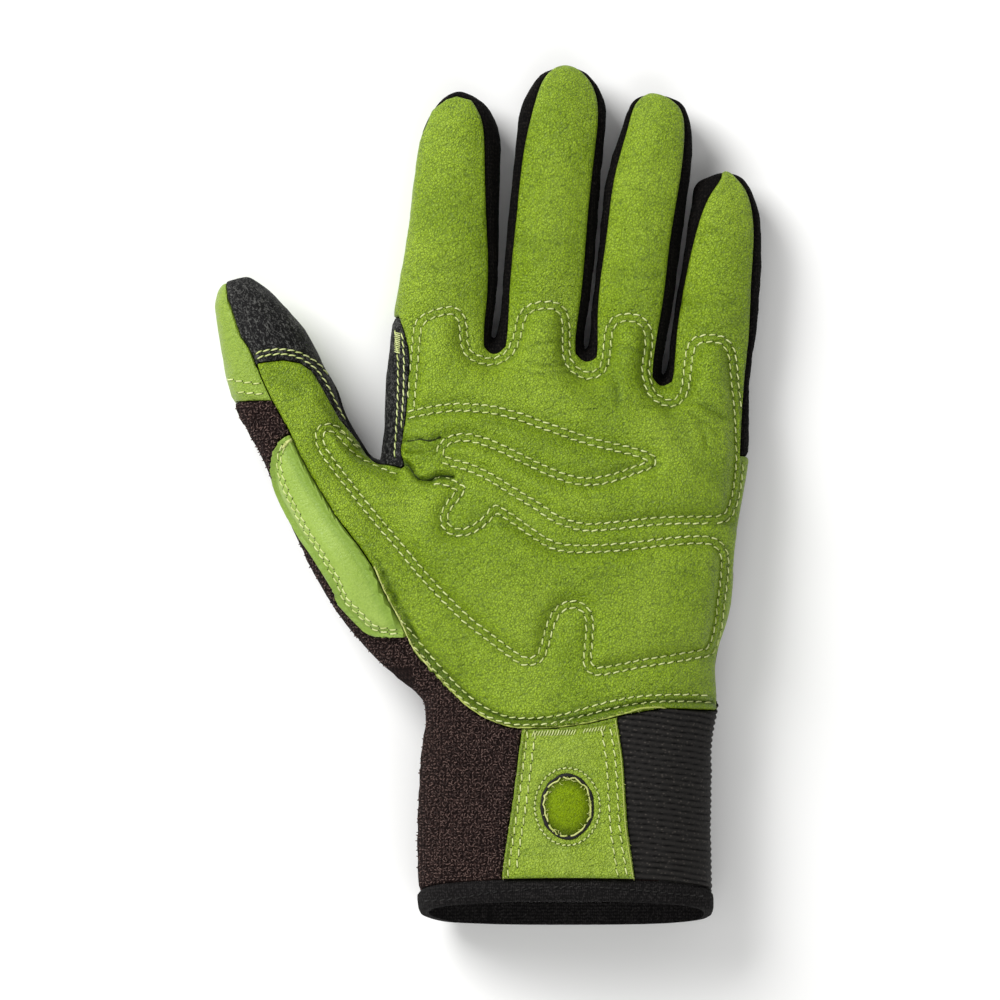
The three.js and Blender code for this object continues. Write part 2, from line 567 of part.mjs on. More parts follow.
// Splits the faces of one label where the field changes sign; the inner part gets a new label
function cut(label, field, innerLabel) {
  const { points, normals, faces } = surface;
  const values = new Map();
  for (const face of faces) {
    if (face.label !== label) continue;
    for (const id of face.corners) if (!values.has(id)) values.set(id, field(points[id]));
  }
  const eachEdge = (visit) => {
    for (const face of faces) {
      if (face.label !== label) continue;
      face.corners.forEach((a, i) => visit(a, face.corners[(i + 1) % face.corners.length]));
    }
  };
  const between = (a, b, t) => points[a].map((v, axis) => mix(v, points[b][axis], t));
  const snaps = new Map();
  eachEdge((a, b) => {
    for (const [from, to] of [[a, b], [b, a]]) {
      if (values.get(from) * values.get(to) >= 0) continue;
      const t = values.get(from) / (values.get(from) - values.get(to));
      if (t < SNAP && (!snaps.has(from) || t < snaps.get(from).t)) snaps.set(from, { t, to });
    }
  });
  const moved = new Map();
  for (const [from, { t, to }] of snaps) moved.set(from, between(from, to, t));
  for (const [from, point] of moved) {
    points[from] = point;
    values.set(from, 0);
  }
  const crossings = new Map();
  eachEdge((a, b) => {
    const key = edgeKey(a, b);
    if (values.get(a) * values.get(b) >= 0 || crossings.has(key)) return;
    const t = values.get(a) / (values.get(a) - values.get(b));
    crossings.set(key, points.length);
    points.push(between(a, b, t));
    normals.push(normals[a].clone().lerp(normals[b], t).normalize());
    values.set(points.length - 1, 0);
  });
  const result = [];
  for (const face of faces) {
    const loop = [];
    face.corners.forEach((a, i) => {
      loop.push(a);
      const key = edgeKey(a, face.corners[(i + 1) % face.corners.length]);
      if (crossings.has(key)) loop.push(crossings.get(key));
    });
    if (face.label !== label) {
      result.push({ ...face, corners: loop });
      continue;
    }
    const inner = loop.filter((id) => values.get(id) >= 0);
    const outer = loop.filter((id) => values.get(id) <= 0);
    const hasInner = loop.some((id) => values.get(id) > 0);
    const hasOuter = loop.some((id) => values.get(id) < 0);
    if (hasInner) result.push({ ...face, corners: hasOuter ? inner : loop, label: innerLabel });
    if (hasOuter) result.push({ ...face, corners: hasInner ? outer : loop });
    if (!hasInner && !hasOuter) result.push({ ...face, corners: loop, label: innerLabel });
  }
  surface.faces = result;
}

// First labels, by where a face sits in the cage
const isFrontColumn = (column) => column >= 1 && column < FRONT_COLUMNS;
const FOURCHETTES = ['fourchette_index_middle', 'fourchette_middle_ring', 'fourchette_ring_little'];
const SIDE_WALL_ROWS = 2; // palm rows that the little finger's side wall reaches down
const BACK_ROWS = 2; // palm rows that the finger backs reach down

function fingerLabel({ finger, column, row }) {
  const atTip = row === FINGERS[finger].sections.length - 1;
  if (finger === 0 && column === 'left') return 'index_front';
  if (finger === 0 && column === 'backLeft') return atTip ? 'index_front' : 'index_wrap';
  if (column === 'frontLeft' || column === 'front') return finger === 0 ? 'index_front' : 'palm_leather';
  if (column === 'frontRight' || column === 'right') {
    return finger === FINGERS.length - 1 ? 'little_side_wall' : FOURCHETTES[finger];
  }
  if (column === 'backRight' || column === 'back') return 'finger_backs';
  return FOURCHETTES[finger - 1];
}

function firstLabel(tag) {
  if (tag.zone === 'slot') return FOURCHETTES[tag.finger];
  if (tag.zone === 'finger') return fingerLabel(tag);
  if (tag.zone === 'thumb') {
    if (tag.column === THUMB_SIDES - 1) return 'thumb_tip_cover';
    return tag.column < THUMB_SIDES / 2 ? 'thumb_front' : 'thumb_back';
  }
  const leftSide = tag.column === 0;
  const rightSide = tag.column === FRONT_COLUMNS;
  if (tag.zone === 'cuff') {
    if (tag.row === bodyRows.length - 2) return 'cuff_binding';
    if (leftSide || rightSide || isFrontColumn(tag.column)) return 'cuff_front';
    return 'cuff_back';
  }
  if (rightSide) return tag.row < SIDE_WALL_ROWS ? 'little_side_wall' : 'palm_front';
  if (leftSide || isFrontColumn(tag.column)) return 'palm_front';
  if (tag.column === RING_SIZE - 1 && tag.row < CROTCH_ROW) return 'index_side_patch';
  if (tag.column === FRONT_COLUMNS + 1) return tag.row < SIDE_WALL_ROWS ? 'little_side_wall' : 'terry_back';
  return tag.row < BACK_ROWS ? 'finger_backs' : 'terry_back';
}

for (const face of surface.faces) face.label = firstLabel(face.tag);

const relabel = (from, to) => {
  for (const face of surface.faces) if (face.label === from) face.label = to;
};

const onPalm = (outline) => outline.map(([across, along]) => [across * ACROSS, along * PALM_LENGTH]);
const onCuff = (outline) => outline.map(([across, along]) => [
  CUFF_MIDDLE + across * CUFF_WIDTH, WRIST - along * CUFF_LENGTH]);
const index = FINGERS[0];
const onIndex = (outline) => outline.map(([across, along]) => [
  index.rootX + (across + index.lean * along) * index.width, index.rootY + along * index.length]);

const palmInside = insideOutline(onPalm(PALM_OUTLINE));
for (const label of ['palm_front', 'thumb_front', 'cuff_front']) cut(label, palmInside, 'palm_leather');
cut('index_front', insideOutline(onIndex(INDEX_TIP_OUTLINE)), 'fourchette_index_middle');
cut('index_front', palmInside, 'palm_leather');
relabel('index_front', 'index_side_patch');
cut('index_wrap', ([, y]) => y - PATCH_END * PALM_LENGTH, 'palm_leather');
relabel('index_wrap', 'index_side_patch');

cut('thumb_front', insideOutline(onPalm(COVER_OUTLINE)), 'thumb_tip_cover');
cut('thumb_front', insideOutline(onPalm(GUARD_OUTLINE)), 'thumb_guard');
cut('thumb_front', ([, y]) => y - CAP_HEM * PALM_LENGTH, 'thumb_back_cap');
cut('thumb_back', ([, y]) => y - CAP_HEM * PALM_LENGTH, 'thumb_back_cap');
relabel('thumb_front', 'terry_back');
relabel('thumb_back', 'terry_back');
cut('palm_front', ([, y]) => y, 'index_side_patch');
relabel('palm_front', 'terry_back');

cut('cuff_front', insideOutline(onCuff(TAB_OUTLINE)), 'cuff_tab');
const holeX = CUFF_MIDDLE + HOLE_CENTRE.across * CUFF_WIDTH;
const holeY = WRIST - HOLE_CENTRE.along * CUFF_LENGTH;
const inHole = ([x, y]) => 1 - Math.hypot((x - holeX) / (HOLE_WIDTH / 2), (y - holeY) / (HOLE_HEIGHT / 2));
cut('cuff_tab', inHole, 'tab_inset');
cut('cuff_front', ([x]) => x - holeX, 'cuff_elastic');
cut('cuff_back', ([x]) => x - CUFF_MIDDLE - ELASTIC_BACK_EDGE * CUFF_WIDTH, 'cuff_elastic');
relabel('cuff_front', 'terry_back');
relabel('cuff_back', 'terry_back');

// Closed walls from panels

// Best split of a polygon into triangles, by the smallest triangle's area for its longest side
function triangulate(loop, points) {
  const p = loop.map((id) => new THREE.Vector3(...points[id]));
  const quality = (i, j, k) => {
    const area = p[j].clone().sub(p[i]).cross(p[k].clone().sub(p[i])).length();
    const sides = [p[i].distanceToSquared(p[j]), p[j].distanceToSquared(p[k]), p[k].distanceToSquared(p[i])];
    return area / Math.max(...sides);
  };
  const memo = new Map();
  const best = (i, j) => {
    if (j - i < 2) return { worst: Infinity, triangles: [] };
    const key = i * 16 + j;
    if (memo.has(key)) return memo.get(key);
    let chosen = { worst: -1, triangles: [] };
    for (let k = i + 1; k < j; k++) {
      const low = best(i, k);
      const high = best(k, j);
      const worst = Math.min(quality(i, k, j), low.worst, high.worst);
      if (worst <= chosen.worst) continue;
      chosen = { worst, triangles: [...low.triangles, ...high.triangles, [i, k, j]] };
    }
    memo.set(key, chosen);
    return chosen;
  };
  return best(0, loop.length - 1).triangles.map((t) => t.map((i) => loop[i]));
}

// Directed edges of a panel that no other face of it shares
function borderEdges(faces) {
  const directed = new Set();
  const list = [];
  for (const { corners } of faces) {
    corners.forEach((a, i) => directed.add(a * ID_RANGE + corners[(i + 1) % corners.length]));
  }
  for (const { corners } of faces) {
    corners.forEach((a, i) => {
      const b = corners[(i + 1) % corners.length];
      if (!directed.has(b * ID_RANGE + a)) list.push([a, b]);
    });
  }
  return list;
}

// Moves border points into the panel, so that neighbours keep the seam gap
function borderMoves(edges, points, normals) {
  const sides = new Map();
  for (const [a, b] of edges) {
    const along = new THREE.Vector3(...points[b]).sub(new THREE.Vector3(...points[a]));
    for (const id of [a, b]) {
      if (!sides.has(id)) sides.set(id, []);
      sides.get(id).push(normals[id].clone().cross(along).normalize());
    }
  }
  const moves = new Map();
  for (const [id, list] of sides) {
    const sum = new THREE.Vector3();
    for (const side of list) sum.add(side);
    const scale = sum.lengthSq() / list.length;
    moves.set(id, sum.multiplyScalar((SEAM_GAP / 2) / Math.max(scale, 0.5)));
  }
  return moves;
}

function shell(label, wall, lift, crown) {
  const faces = surface.faces.filter((face) => face.label === label);
  const edges = borderEdges(faces);
  const moves = borderMoves(edges, surface.points, surface.normals);
  const ids = [...new Set(faces.flatMap((face) => face.corners))];
  const place = new Map(ids.map((id, i) => [id, i]));
  const vertices = [];
  const offset = (id, distance) => {
    const p = new THREE.Vector3(...surface.points[id]);
    if (moves.has(id)) p.add(moves.get(id));
    p.addScaledVector(surface.normals[id], distance);
    vertices.push(p.x, p.y, Math.max(p.z, 0));
  };
  for (const id of ids) offset(id, lift + (moves.has(id) ? 0 : crown));
  for (const id of ids) offset(id, lift - wall);
  const outside = (id) => place.get(id);
  const inside = (id) => place.get(id) + ids.length;
  const triangles = [];
  for (const face of faces) {
    for (const [a, b, c] of triangulate(face.corners, surface.points)) {
      triangles.push(outside(a), outside(b), outside(c), inside(c), inside(b), inside(a));
    }
  }
  for (const [a, b] of edges) {
    triangles.push(outside(b), outside(a), inside(a), outside(b), inside(a), inside(b));
  }
  const geometry = new THREE.BufferGeometry();
  geometry.setAttribute('position', new THREE.Float32BufferAttribute(vertices, 3));
  geometry.setIndex(triangles);
  geometry.computeVertexNormals();
  return geometry;
}

// Pieces: wall, how far the outer face stands above the smooth surface, extra crown, finish
const PIECES = [
  { name: 'palm_leather', wall: LEATHER_WALL, lift: 0, crown: 0, color: 0x8caa32, roughness: 0.5 },
  { name: 'fourchette_index_middle', wall: STRETCH_WALL, lift: -0.2, crown: 0, color: 0x191614, roughness: 0.9 },
  { name: 'fourchette_middle_ring', wall: STRETCH_WALL, lift: -0.2, crown: 0, color: 0x191614, roughness: 0.9 },
  { name: 'fourchette_ring_little', wall: STRETCH_WALL, lift: -0.2, crown: 0, color: 0x191614, roughness: 0.9 },
  { name: 'little_side_wall', wall: STRETCH_WALL, lift: 0, crown: 0, color: 0x191614, roughness: 0.9 },
  { name: 'finger_backs', wall: STRETCH_WALL, lift: 0, crown: 0, color: 0x1c1917, roughness: 0.9 },
  { name: 'terry_back', wall: TERRY_WALL, lift: 0, crown: 0, color: 0x3a2e2c, roughness: 1 },
  { name: 'thumb_tip_cover', wall: GRIP_WALL, lift: 0.1, crown: 0, color: 0x303032, roughness: 0.8 },
  { name: 'thumb_back_cap', wall: LEATHER_WALL, lift: 0, crown: 0, color: 0xa0c35f, roughness: 0.45 },
  { name: 'thumb_guard', wall: GUARD_WALL, lift: 0.8, crown: 0.8, color: 0xa0c35f, roughness: 0.45 },
  { name: 'index_side_patch', wall: GRIP_WALL, lift: 0.1, crown: 0, color: 0x303032, roughness: 0.8 },
  { name: 'cuff_tab', wall: TAB_WALL, lift: 0.9, crown: 0, color: 0x8caa32, roughness: 0.5 },
  { name: 'tab_inset', wall: INSET_WALL, lift: 0.2, crown: 0.4, color: 0x789600, roughness: 0.5 },
  { name: 'cuff_elastic', wall: ELASTIC_WALL, lift: 0, crown: 0, color: 0x1e1e1c, roughness: 0.9 },
  { name: 'cuff_binding', wall: BINDING_WALL, lift: 0.6, crown: 0, color: 0x222224, roughness: 0.85 },
];

const glove = new THREE.Group();
glove.name = 'glove';
for (const piece of PIECES) {
  const geometry = shell(piece.name, piece.wall, piece.lift, piece.crown);
  const material = new THREE.MeshStandardMaterial({ color: piece.color, roughness: piece.roughness });
  const mesh = new THREE.Mesh(geometry, material);
  mesh.name = piece.name;
  glove.add(mesh);
}

// Origin at the middle of the glove's box, on the surface that it lies on
const box = new THREE.Box3().setFromObject(glove);
const centre = box.getCenter(new THREE.Vector3());
glove.position.set(-centre.x, -centre.y, -box.min.z);

export default glove;
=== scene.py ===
import math
import random
from collections import namedtuple

import bpy
import numpy as np
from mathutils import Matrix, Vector, noise
from mathutils.bvhtree import BVHTree
from mathutils.kdtree import KDTree


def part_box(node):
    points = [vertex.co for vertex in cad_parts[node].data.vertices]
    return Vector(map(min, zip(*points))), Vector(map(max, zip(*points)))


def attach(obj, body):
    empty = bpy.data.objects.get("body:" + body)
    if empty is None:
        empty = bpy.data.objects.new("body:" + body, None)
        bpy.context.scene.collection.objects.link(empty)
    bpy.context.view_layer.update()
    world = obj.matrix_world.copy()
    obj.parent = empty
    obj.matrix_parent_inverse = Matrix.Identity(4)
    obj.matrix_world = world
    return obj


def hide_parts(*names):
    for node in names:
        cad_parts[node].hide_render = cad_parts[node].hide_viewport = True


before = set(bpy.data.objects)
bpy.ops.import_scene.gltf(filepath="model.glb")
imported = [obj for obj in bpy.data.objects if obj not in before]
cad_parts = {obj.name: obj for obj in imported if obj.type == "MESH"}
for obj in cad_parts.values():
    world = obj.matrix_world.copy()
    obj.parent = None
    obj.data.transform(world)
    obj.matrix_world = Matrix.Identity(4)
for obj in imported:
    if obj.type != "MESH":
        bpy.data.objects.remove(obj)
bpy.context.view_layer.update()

MM = 0.001
random.seed(7)

# Camera: straight above the palm, leaning a little towards the cuff
scene = bpy.context.scene
PHOTO_WIDTH = 290 * MM
CAMERA_DISTANCE = 2.4
CAMERA_ELEVATION = math.radians(87.2)
CAMERA_TARGET = Vector((3.4 * MM, -1.9 * MM, 18 * MM))
SENSOR = 36

camera_data = bpy.data.cameras.new("camera")
camera_data.sensor_width = SENSOR
camera_data.lens = SENSOR * CAMERA_DISTANCE / PHOTO_WIDTH
camera_data.clip_end = 20
camera = bpy.data.objects.new("camera", camera_data)
scene.collection.objects.link(camera)
towards_camera = Vector((0, -math.cos(CAMERA_ELEVATION), math.sin(CAMERA_ELEVATION)))
camera.location = CAMERA_TARGET + CAMERA_DISTANCE * towards_camera
camera.rotation_euler = (CAMERA_TARGET - camera.location).to_track_quat("-Z", "Y").to_euler()
scene.camera = camera

# Driving sizes, the same as the solid model's
INDEX_WIDTH = 30 * MM
MIDDLE_WIDTH = 26.7 * MM
RING_WIDTH = 22.8 * MM
LITTLE_WIDTH = 24.5 * MM
INDEX_LENGTH = 73.5 * MM
MIDDLE_LENGTH = 83.2 * MM
RING_LENGTH = 80 * MM
LITTLE_LENGTH = 61.2 * MM
THUMB_LENGTH = 67 * MM
PALM_LENGTH = 100 * MM
PALM_DEPTH = 34 * MM
FINGER_DEPTH = 21 * MM
THUMB_DEPTH = 25 * MM
CUFF_WIDTH = 84.5 * MM
CUFF_LENGTH = 62 * MM
CUFF_DEPTH = 37 * MM
RIM_SLANT = 3 * MM
HOLE_WIDTH = 14.5 * MM
HOLE_HEIGHT = 18 * MM
SEAM_GAP = 0.4 * MM
FINGER_GAP = 1 * MM
FLATTENED = 0.9 * MM

FINGER_ROUND = (2.3, 2.6)
PALM_ROUND = (2.7, 3.4)
CUFF_ROUND = (2.3, 2.8)
THUMB_ROUND = 0.9
BODY_LEVEL = 0.46
FINGER_LEVEL = 0.48
BACK_COLUMN = 0.62
SLOT_RISE = 0.16
CUFF_EDGE = (0.06, 0.02)

ACROSS = (INDEX_WIDTH + MIDDLE_WIDTH + RING_WIDTH + LITTLE_WIDTH) / 1.04
OUTER_EDGE = -0.28 * ACROSS
WRIST = -0.6 * PALM_LENGTH
CUFF_MIDDLE = 0.223 * ACROSS

# Cross sections of the fingers: share of the length, silhouette and leather edges in widths, depth share
Finger = namedtuple("Finger", "width length root_left root_right lean sections")
Section = namedtuple("Section", "at left right leather_left leather_right depth")
FINGERS = [
    Finger(INDEX_WIDTH, INDEX_LENGTH, 0.46, 0.43, 0.167, [
        Section(0, -0.5, 0.485, -0.367, 0.417, 1.04),
        Section(0.22, -0.465, 0.485, -0.33, 0.413, 1),
        Section(0.49, -0.398, 0.468, -0.29, 0.352, 0.98),
        Section(0.72, -0.37, 0.443, -0.27, 0.3, 0.94),
        Section(0.87, -0.312, 0.382, -0.225, 0.245, 0.8),
        Section(0.965, -0.177, 0.207, -0.12, 0.107, 0.44)]),
    Finger(MIDDLE_WIDTH, MIDDLE_LENGTH, 0.43, 0.41, 0.275, [
        Section(0, -0.48, 0.48, -0.395, 0.399, 1.04),
        Section(0.2, -0.46, 0.49, -0.404, 0.405, 1),
        Section(0.45, -0.47, 0.5, -0.4, 0.402, 1),
        Section(0.68, -0.459, 0.49, -0.384, 0.414, 0.97),
        Section(0.86, -0.441, 0.466, -0.31, 0.4, 0.84),
        Section(0.965, -0.28, 0.277, -0.2, 0.23, 0.48)]),
    Finger(RING_WIDTH, RING_LENGTH, 0.4, 0.34, 0.346, [
        Section(0, -0.48, 0.48, -0.386, 0.36, 1.04),
        Section(0.22, -0.48, 0.53, -0.44, 0.402, 0.98),
        Section(0.46, -0.475, 0.56, -0.42, 0.424, 0.98),
        Section(0.68, -0.475, 0.59, -0.393, 0.475, 0.95),
        Section(0.86, -0.346, 0.553, -0.29, 0.469, 0.82),
        Section(0.96, -0.259, 0.408, -0.21, 0.33, 0.48)]),
    Finger(LITTLE_WIDTH, LITTLE_LENGTH, 0.33, 0.33, 0.194, [
        Section(0, -0.48, 0.5, -0.431, 0.455, 1.04),
        Section(0.22, -0.44, 0.518, -0.41, 0.469, 0.92),
        Section(0.46, -0.4, 0.535, -0.363, 0.449, 0.9),
        Section(0.68, -0.37, 0.51, -0.286, 0.437, 0.86),
        Section(0.86, -0.35, 0.416, -0.167, 0.351, 0.73),
        Section(0.96, -0.265, 0.265, -0.03, 0.19, 0.42)]),
]

# Palm rows in palm widths, lengths and depths: silhouette, outer columns of the front, place along the palm
PalmRow = namedtuple("PalmRow", "left first last right along_left along_right depth even")
PALM_ROWS = [
    PalmRow(-0.295, -0.235, 0.742, 0.76, 0.31, 0.22, 0.76, 0.2),
    PalmRow(-0.3, -0.243, 0.735, 0.757, 0.18, 0.11, 0.84, 0.4),
    PalmRow(-0.308, -0.24, 0.722, 0.743, 0.05, 0, 0.91, 0.6),
    PalmRow(-0.45, -0.25, 0.7, 0.723, -0.08, -0.11, 0.96, 0.8),
    PalmRow(-0.45, -0.24, 0.69, 0.713, -0.22, -0.22, 1, 1),
    PalmRow(-0.4, -0.195, 0.678, 0.7, -0.36, -0.35, 1, 1),
    PalmRow(-0.275, -0.14, 0.64, 0.663, -0.49, -0.48, 1, 1),
]
CROTCH_ROW = 3
THUMB_ROWS = 4
CROTCH = (-0.318, 0.088)
THUMB_HEEL = (-0.275, -0.522)

# Thumb rings in thumb lengths from the crotch: inner and outer silhouette, height and half depth
ThumbRing = namedtuple("ThumbRing", "in_x in_y out_x out_y height half")
THUMB_RINGS = [
    ThumbRing(-0.06, 0.055, -0.134, -0.7, 0.64, 0.62),
    ThumbRing(-0.11, 0.135, -0.29, -0.448, 0.64, 0.59),
    ThumbRing(-0.155, 0.22, -0.415, -0.172, 0.64, 0.55),
    ThumbRing(-0.187, 0.32, -0.535, 0.09, 0.64, 0.52),
    ThumbRing(-0.26, 0.478, -0.625, 0.261, 0.65, 0.5),
    ThumbRing(-0.343, 0.612, -0.683, 0.515, 0.66, 0.45),
    ThumbRing(-0.447, 0.724, -0.705, 0.694, 0.67, 0.34),
    ThumbRing(-0.537, 0.795, -0.675, 0.772, 0.67, 0.18),
]
THUMB_TIP = (-0.604, 0.8, 0.67)

# Cuff rows: share of the length, half widths, depth, share of the rim's slant
CuffRow = namedtuple("CuffRow", "at left right depth slant")
CUFF_ROWS = [
    CuffRow(0, -0.485, 0.523, 0.93, 0),
    CuffRow(0.16, -0.482, 0.504, 0.95, 0),
    CuffRow(0.4, -0.498, 0.498, 0.98, 0.15),
    CuffRow(0.65, -0.504, 0.497, 1, 0.5),
    CuffRow(0.89, -0.498, 0.5, 1, 1),
    CuffRow(1, -0.487, 0.501, 0.98, 1),
]

# Outlines of the pieces as seen from the palm side, in palm widths and lengths
PATCH_END = 0.515
PALM_OUTLINE = [
    (-0.318, 0.09), (-0.365, 0.14), (-0.427, 0.215), (-0.48, 0.31), (-0.506, 0.352), (-0.54, 0.375),
    (-0.59, 0.382), (-0.67, 0.372), (-0.655, 0.33), (-0.625, 0.265), (-0.582, 0.19), (-0.545, 0.11),
    (-0.51, 0.045), (-0.44, -0.07), (-0.37, -0.16), (-0.33, -0.22), (-0.3, -0.29), (-0.25, -0.385),
    (-0.22, -0.45), (-0.18, -0.5), (-0.1, -0.585), (-0.045, -0.634), (0, -0.66), (0.05, -0.679),
    (0.1, -0.687), (0.2, -0.685), (0.3, -0.67), (0.4, -0.645), (0.5, -0.628), (0.9, -0.635), (0.9, 0.2),
    (0.9, 1.5), (-0.5, 1.5), (-0.5, PATCH_END), (-0.26, PATCH_END), (-0.24, 0.455), (-0.228, 0.4),
    (-0.23, 0.35), (-0.24, 0.22), (-0.254, 0.12), (-0.242, 0.07), (-0.27, 0.08),
]
COVER_OUTLINE = [
    (-0.31, 0.02), (-0.44, 0.15), (-0.52, 0.3), (-0.6, 0.345), (-0.668, 0.35), (-0.672, 0.372),
    (-0.69, 0.415), (-0.716, 0.45), (-0.735, 0.51), (-0.754, 0.56), (-0.76, 0.615), (-0.76, 0.8),
    (-0.2, 0.8), (-0.2, 0.02),
]
GUARD_OUTLINE = [
    (-0.575, 0.165), (-0.6, 0.15), (-0.617, 0.125), (-0.624, 0.08), (-0.615, 0.03), (-0.595, -0.02),
    (-0.57, -0.07), (-0.54, -0.125), (-0.51, -0.17), (-0.48, -0.22), (-0.45, -0.27), (-0.43, -0.32),
    (-0.39, -0.362), (-0.348, -0.404), (-0.307, -0.421), (-0.23, -0.42), (-0.2, -0.3), (-0.3, 0.1),
]
CAP_HEM = 0.262
TAB_OUTLINE = [
    (-0.13, -0.1), (-0.146, 0.137), (-0.163, 0.323), (-0.175, 0.452), (-0.205, 0.726), (-0.22, 0.9),
    (-0.22, 1.2), (0.25, 1.2), (0.24, 0.87), (0.212, 0.597), (0.198, 0.29), (0.178, 0.097), (0.17, -0.1),
]
HOLE_CENTRE = (0.008, 0.5)
ELASTIC_BACK_EDGE = 0.33
INDEX_TIP_OUTLINE = [
    (-0.7, 0.81), (-0.345, 0.81), (-0.253, 0.918), (-0.127, 0.963), (-0.03, 0.975), (0.143, 0.955),
    (0.3, 0.9), (0.7, 0.9), (0.7, 1.3), (-0.7, 1.3),
]

FRONT_COLUMNS = 12
RING_SIZE = 2 * FRONT_COLUMNS + 2
FINGER_SIDES = 8
FINGER_ORDER = ["left", "frontLeft", "front", "frontRight", "right", "backRight", "back", "backLeft"]
FOURCHETTES = ["fourchette_index_middle", "fourchette_middle_ring", "fourchette_ring_little"]
THUMB_SIDES = 4 + 2 * THUMB_ROWS
FITTING_ROUNDS = 24
SNAP = 0.2


def mix(a, b, t):
    return a + (b - a) * t


def smooth(low, high, value):
    """Smooth step from 0 at low to 1 at high."""
    t = np.clip((value - low) / (high - low), 0, 1)
    return t * t * (3 - 2 * t)


def rounded(t, power):
    return (1 - min(1, abs(t)) ** power) ** (1 / power)


# Cage of quads whose smooth surface passes through its points
class Cage:
    """Points and quads of the whole glove, with the name of the piece that each quad starts in."""

    def __init__(self):
        self.points = []
        self.faces = []
        self.labels = []

    def point(self, x, y, z):
        self.points.append((x, y, z))
        return len(self.points) - 1

    def face(self, label, *corners):
        self.faces.append(corners[::-1])
        self.labels.append(label)


def finger_label(finger, column, row):
    at_tip = row == len(FINGERS[finger].sections) - 1
    if finger == 0 and column == "left":
        return "index_front"
    if finger == 0 and column == "backLeft":
        return "index_front" if at_tip else "index_wrap"
    if column in ("frontLeft", "front"):
        return "index_front" if finger == 0 else "palm_leather"
    if column in ("frontRight", "right"):
        return "little_side_wall" if finger == len(FINGERS) - 1 else FOURCHETTES[finger]
    if column in ("backRight", "back"):
        return "finger_backs"
    return FOURCHETTES[finger - 1]


def body_label(row, column, first_cuff_row, last_row):
    left_side = column == 0
    right_side = column == FRONT_COLUMNS
    front = 1 <= column < FRONT_COLUMNS
    if row >= first_cuff_row:
        if row == last_row:
            return "cuff_binding"
        return "cuff_front" if left_side or right_side or front else "cuff_back"
    if right_side:
        return "little_side_wall" if row < 2 else "palm_front"
    if left_side or front:
        return "palm_front"
    if column == RING_SIZE - 1 and row < CROTCH_ROW:
        return "index_side_patch"
    if column == FRONT_COLUMNS + 1:
        return "little_side_wall" if row < 2 else "terry_back"
    return "finger_backs" if row < 2 else "terry_back"


def body_section(left, right, top, powers):
    """Cross section between two silhouette points: level, height of the front and height of the back at x."""
    middle, half = (left + right) / 2, (right - left) / 2
    level = BODY_LEVEL * top

    def front(x):
        return level + (top - level) * rounded((x - middle) / half, powers[0])

    def back(x):
        return level - (level + FLATTENED) * rounded((x - middle) / half, powers[1])

    return level, front, back


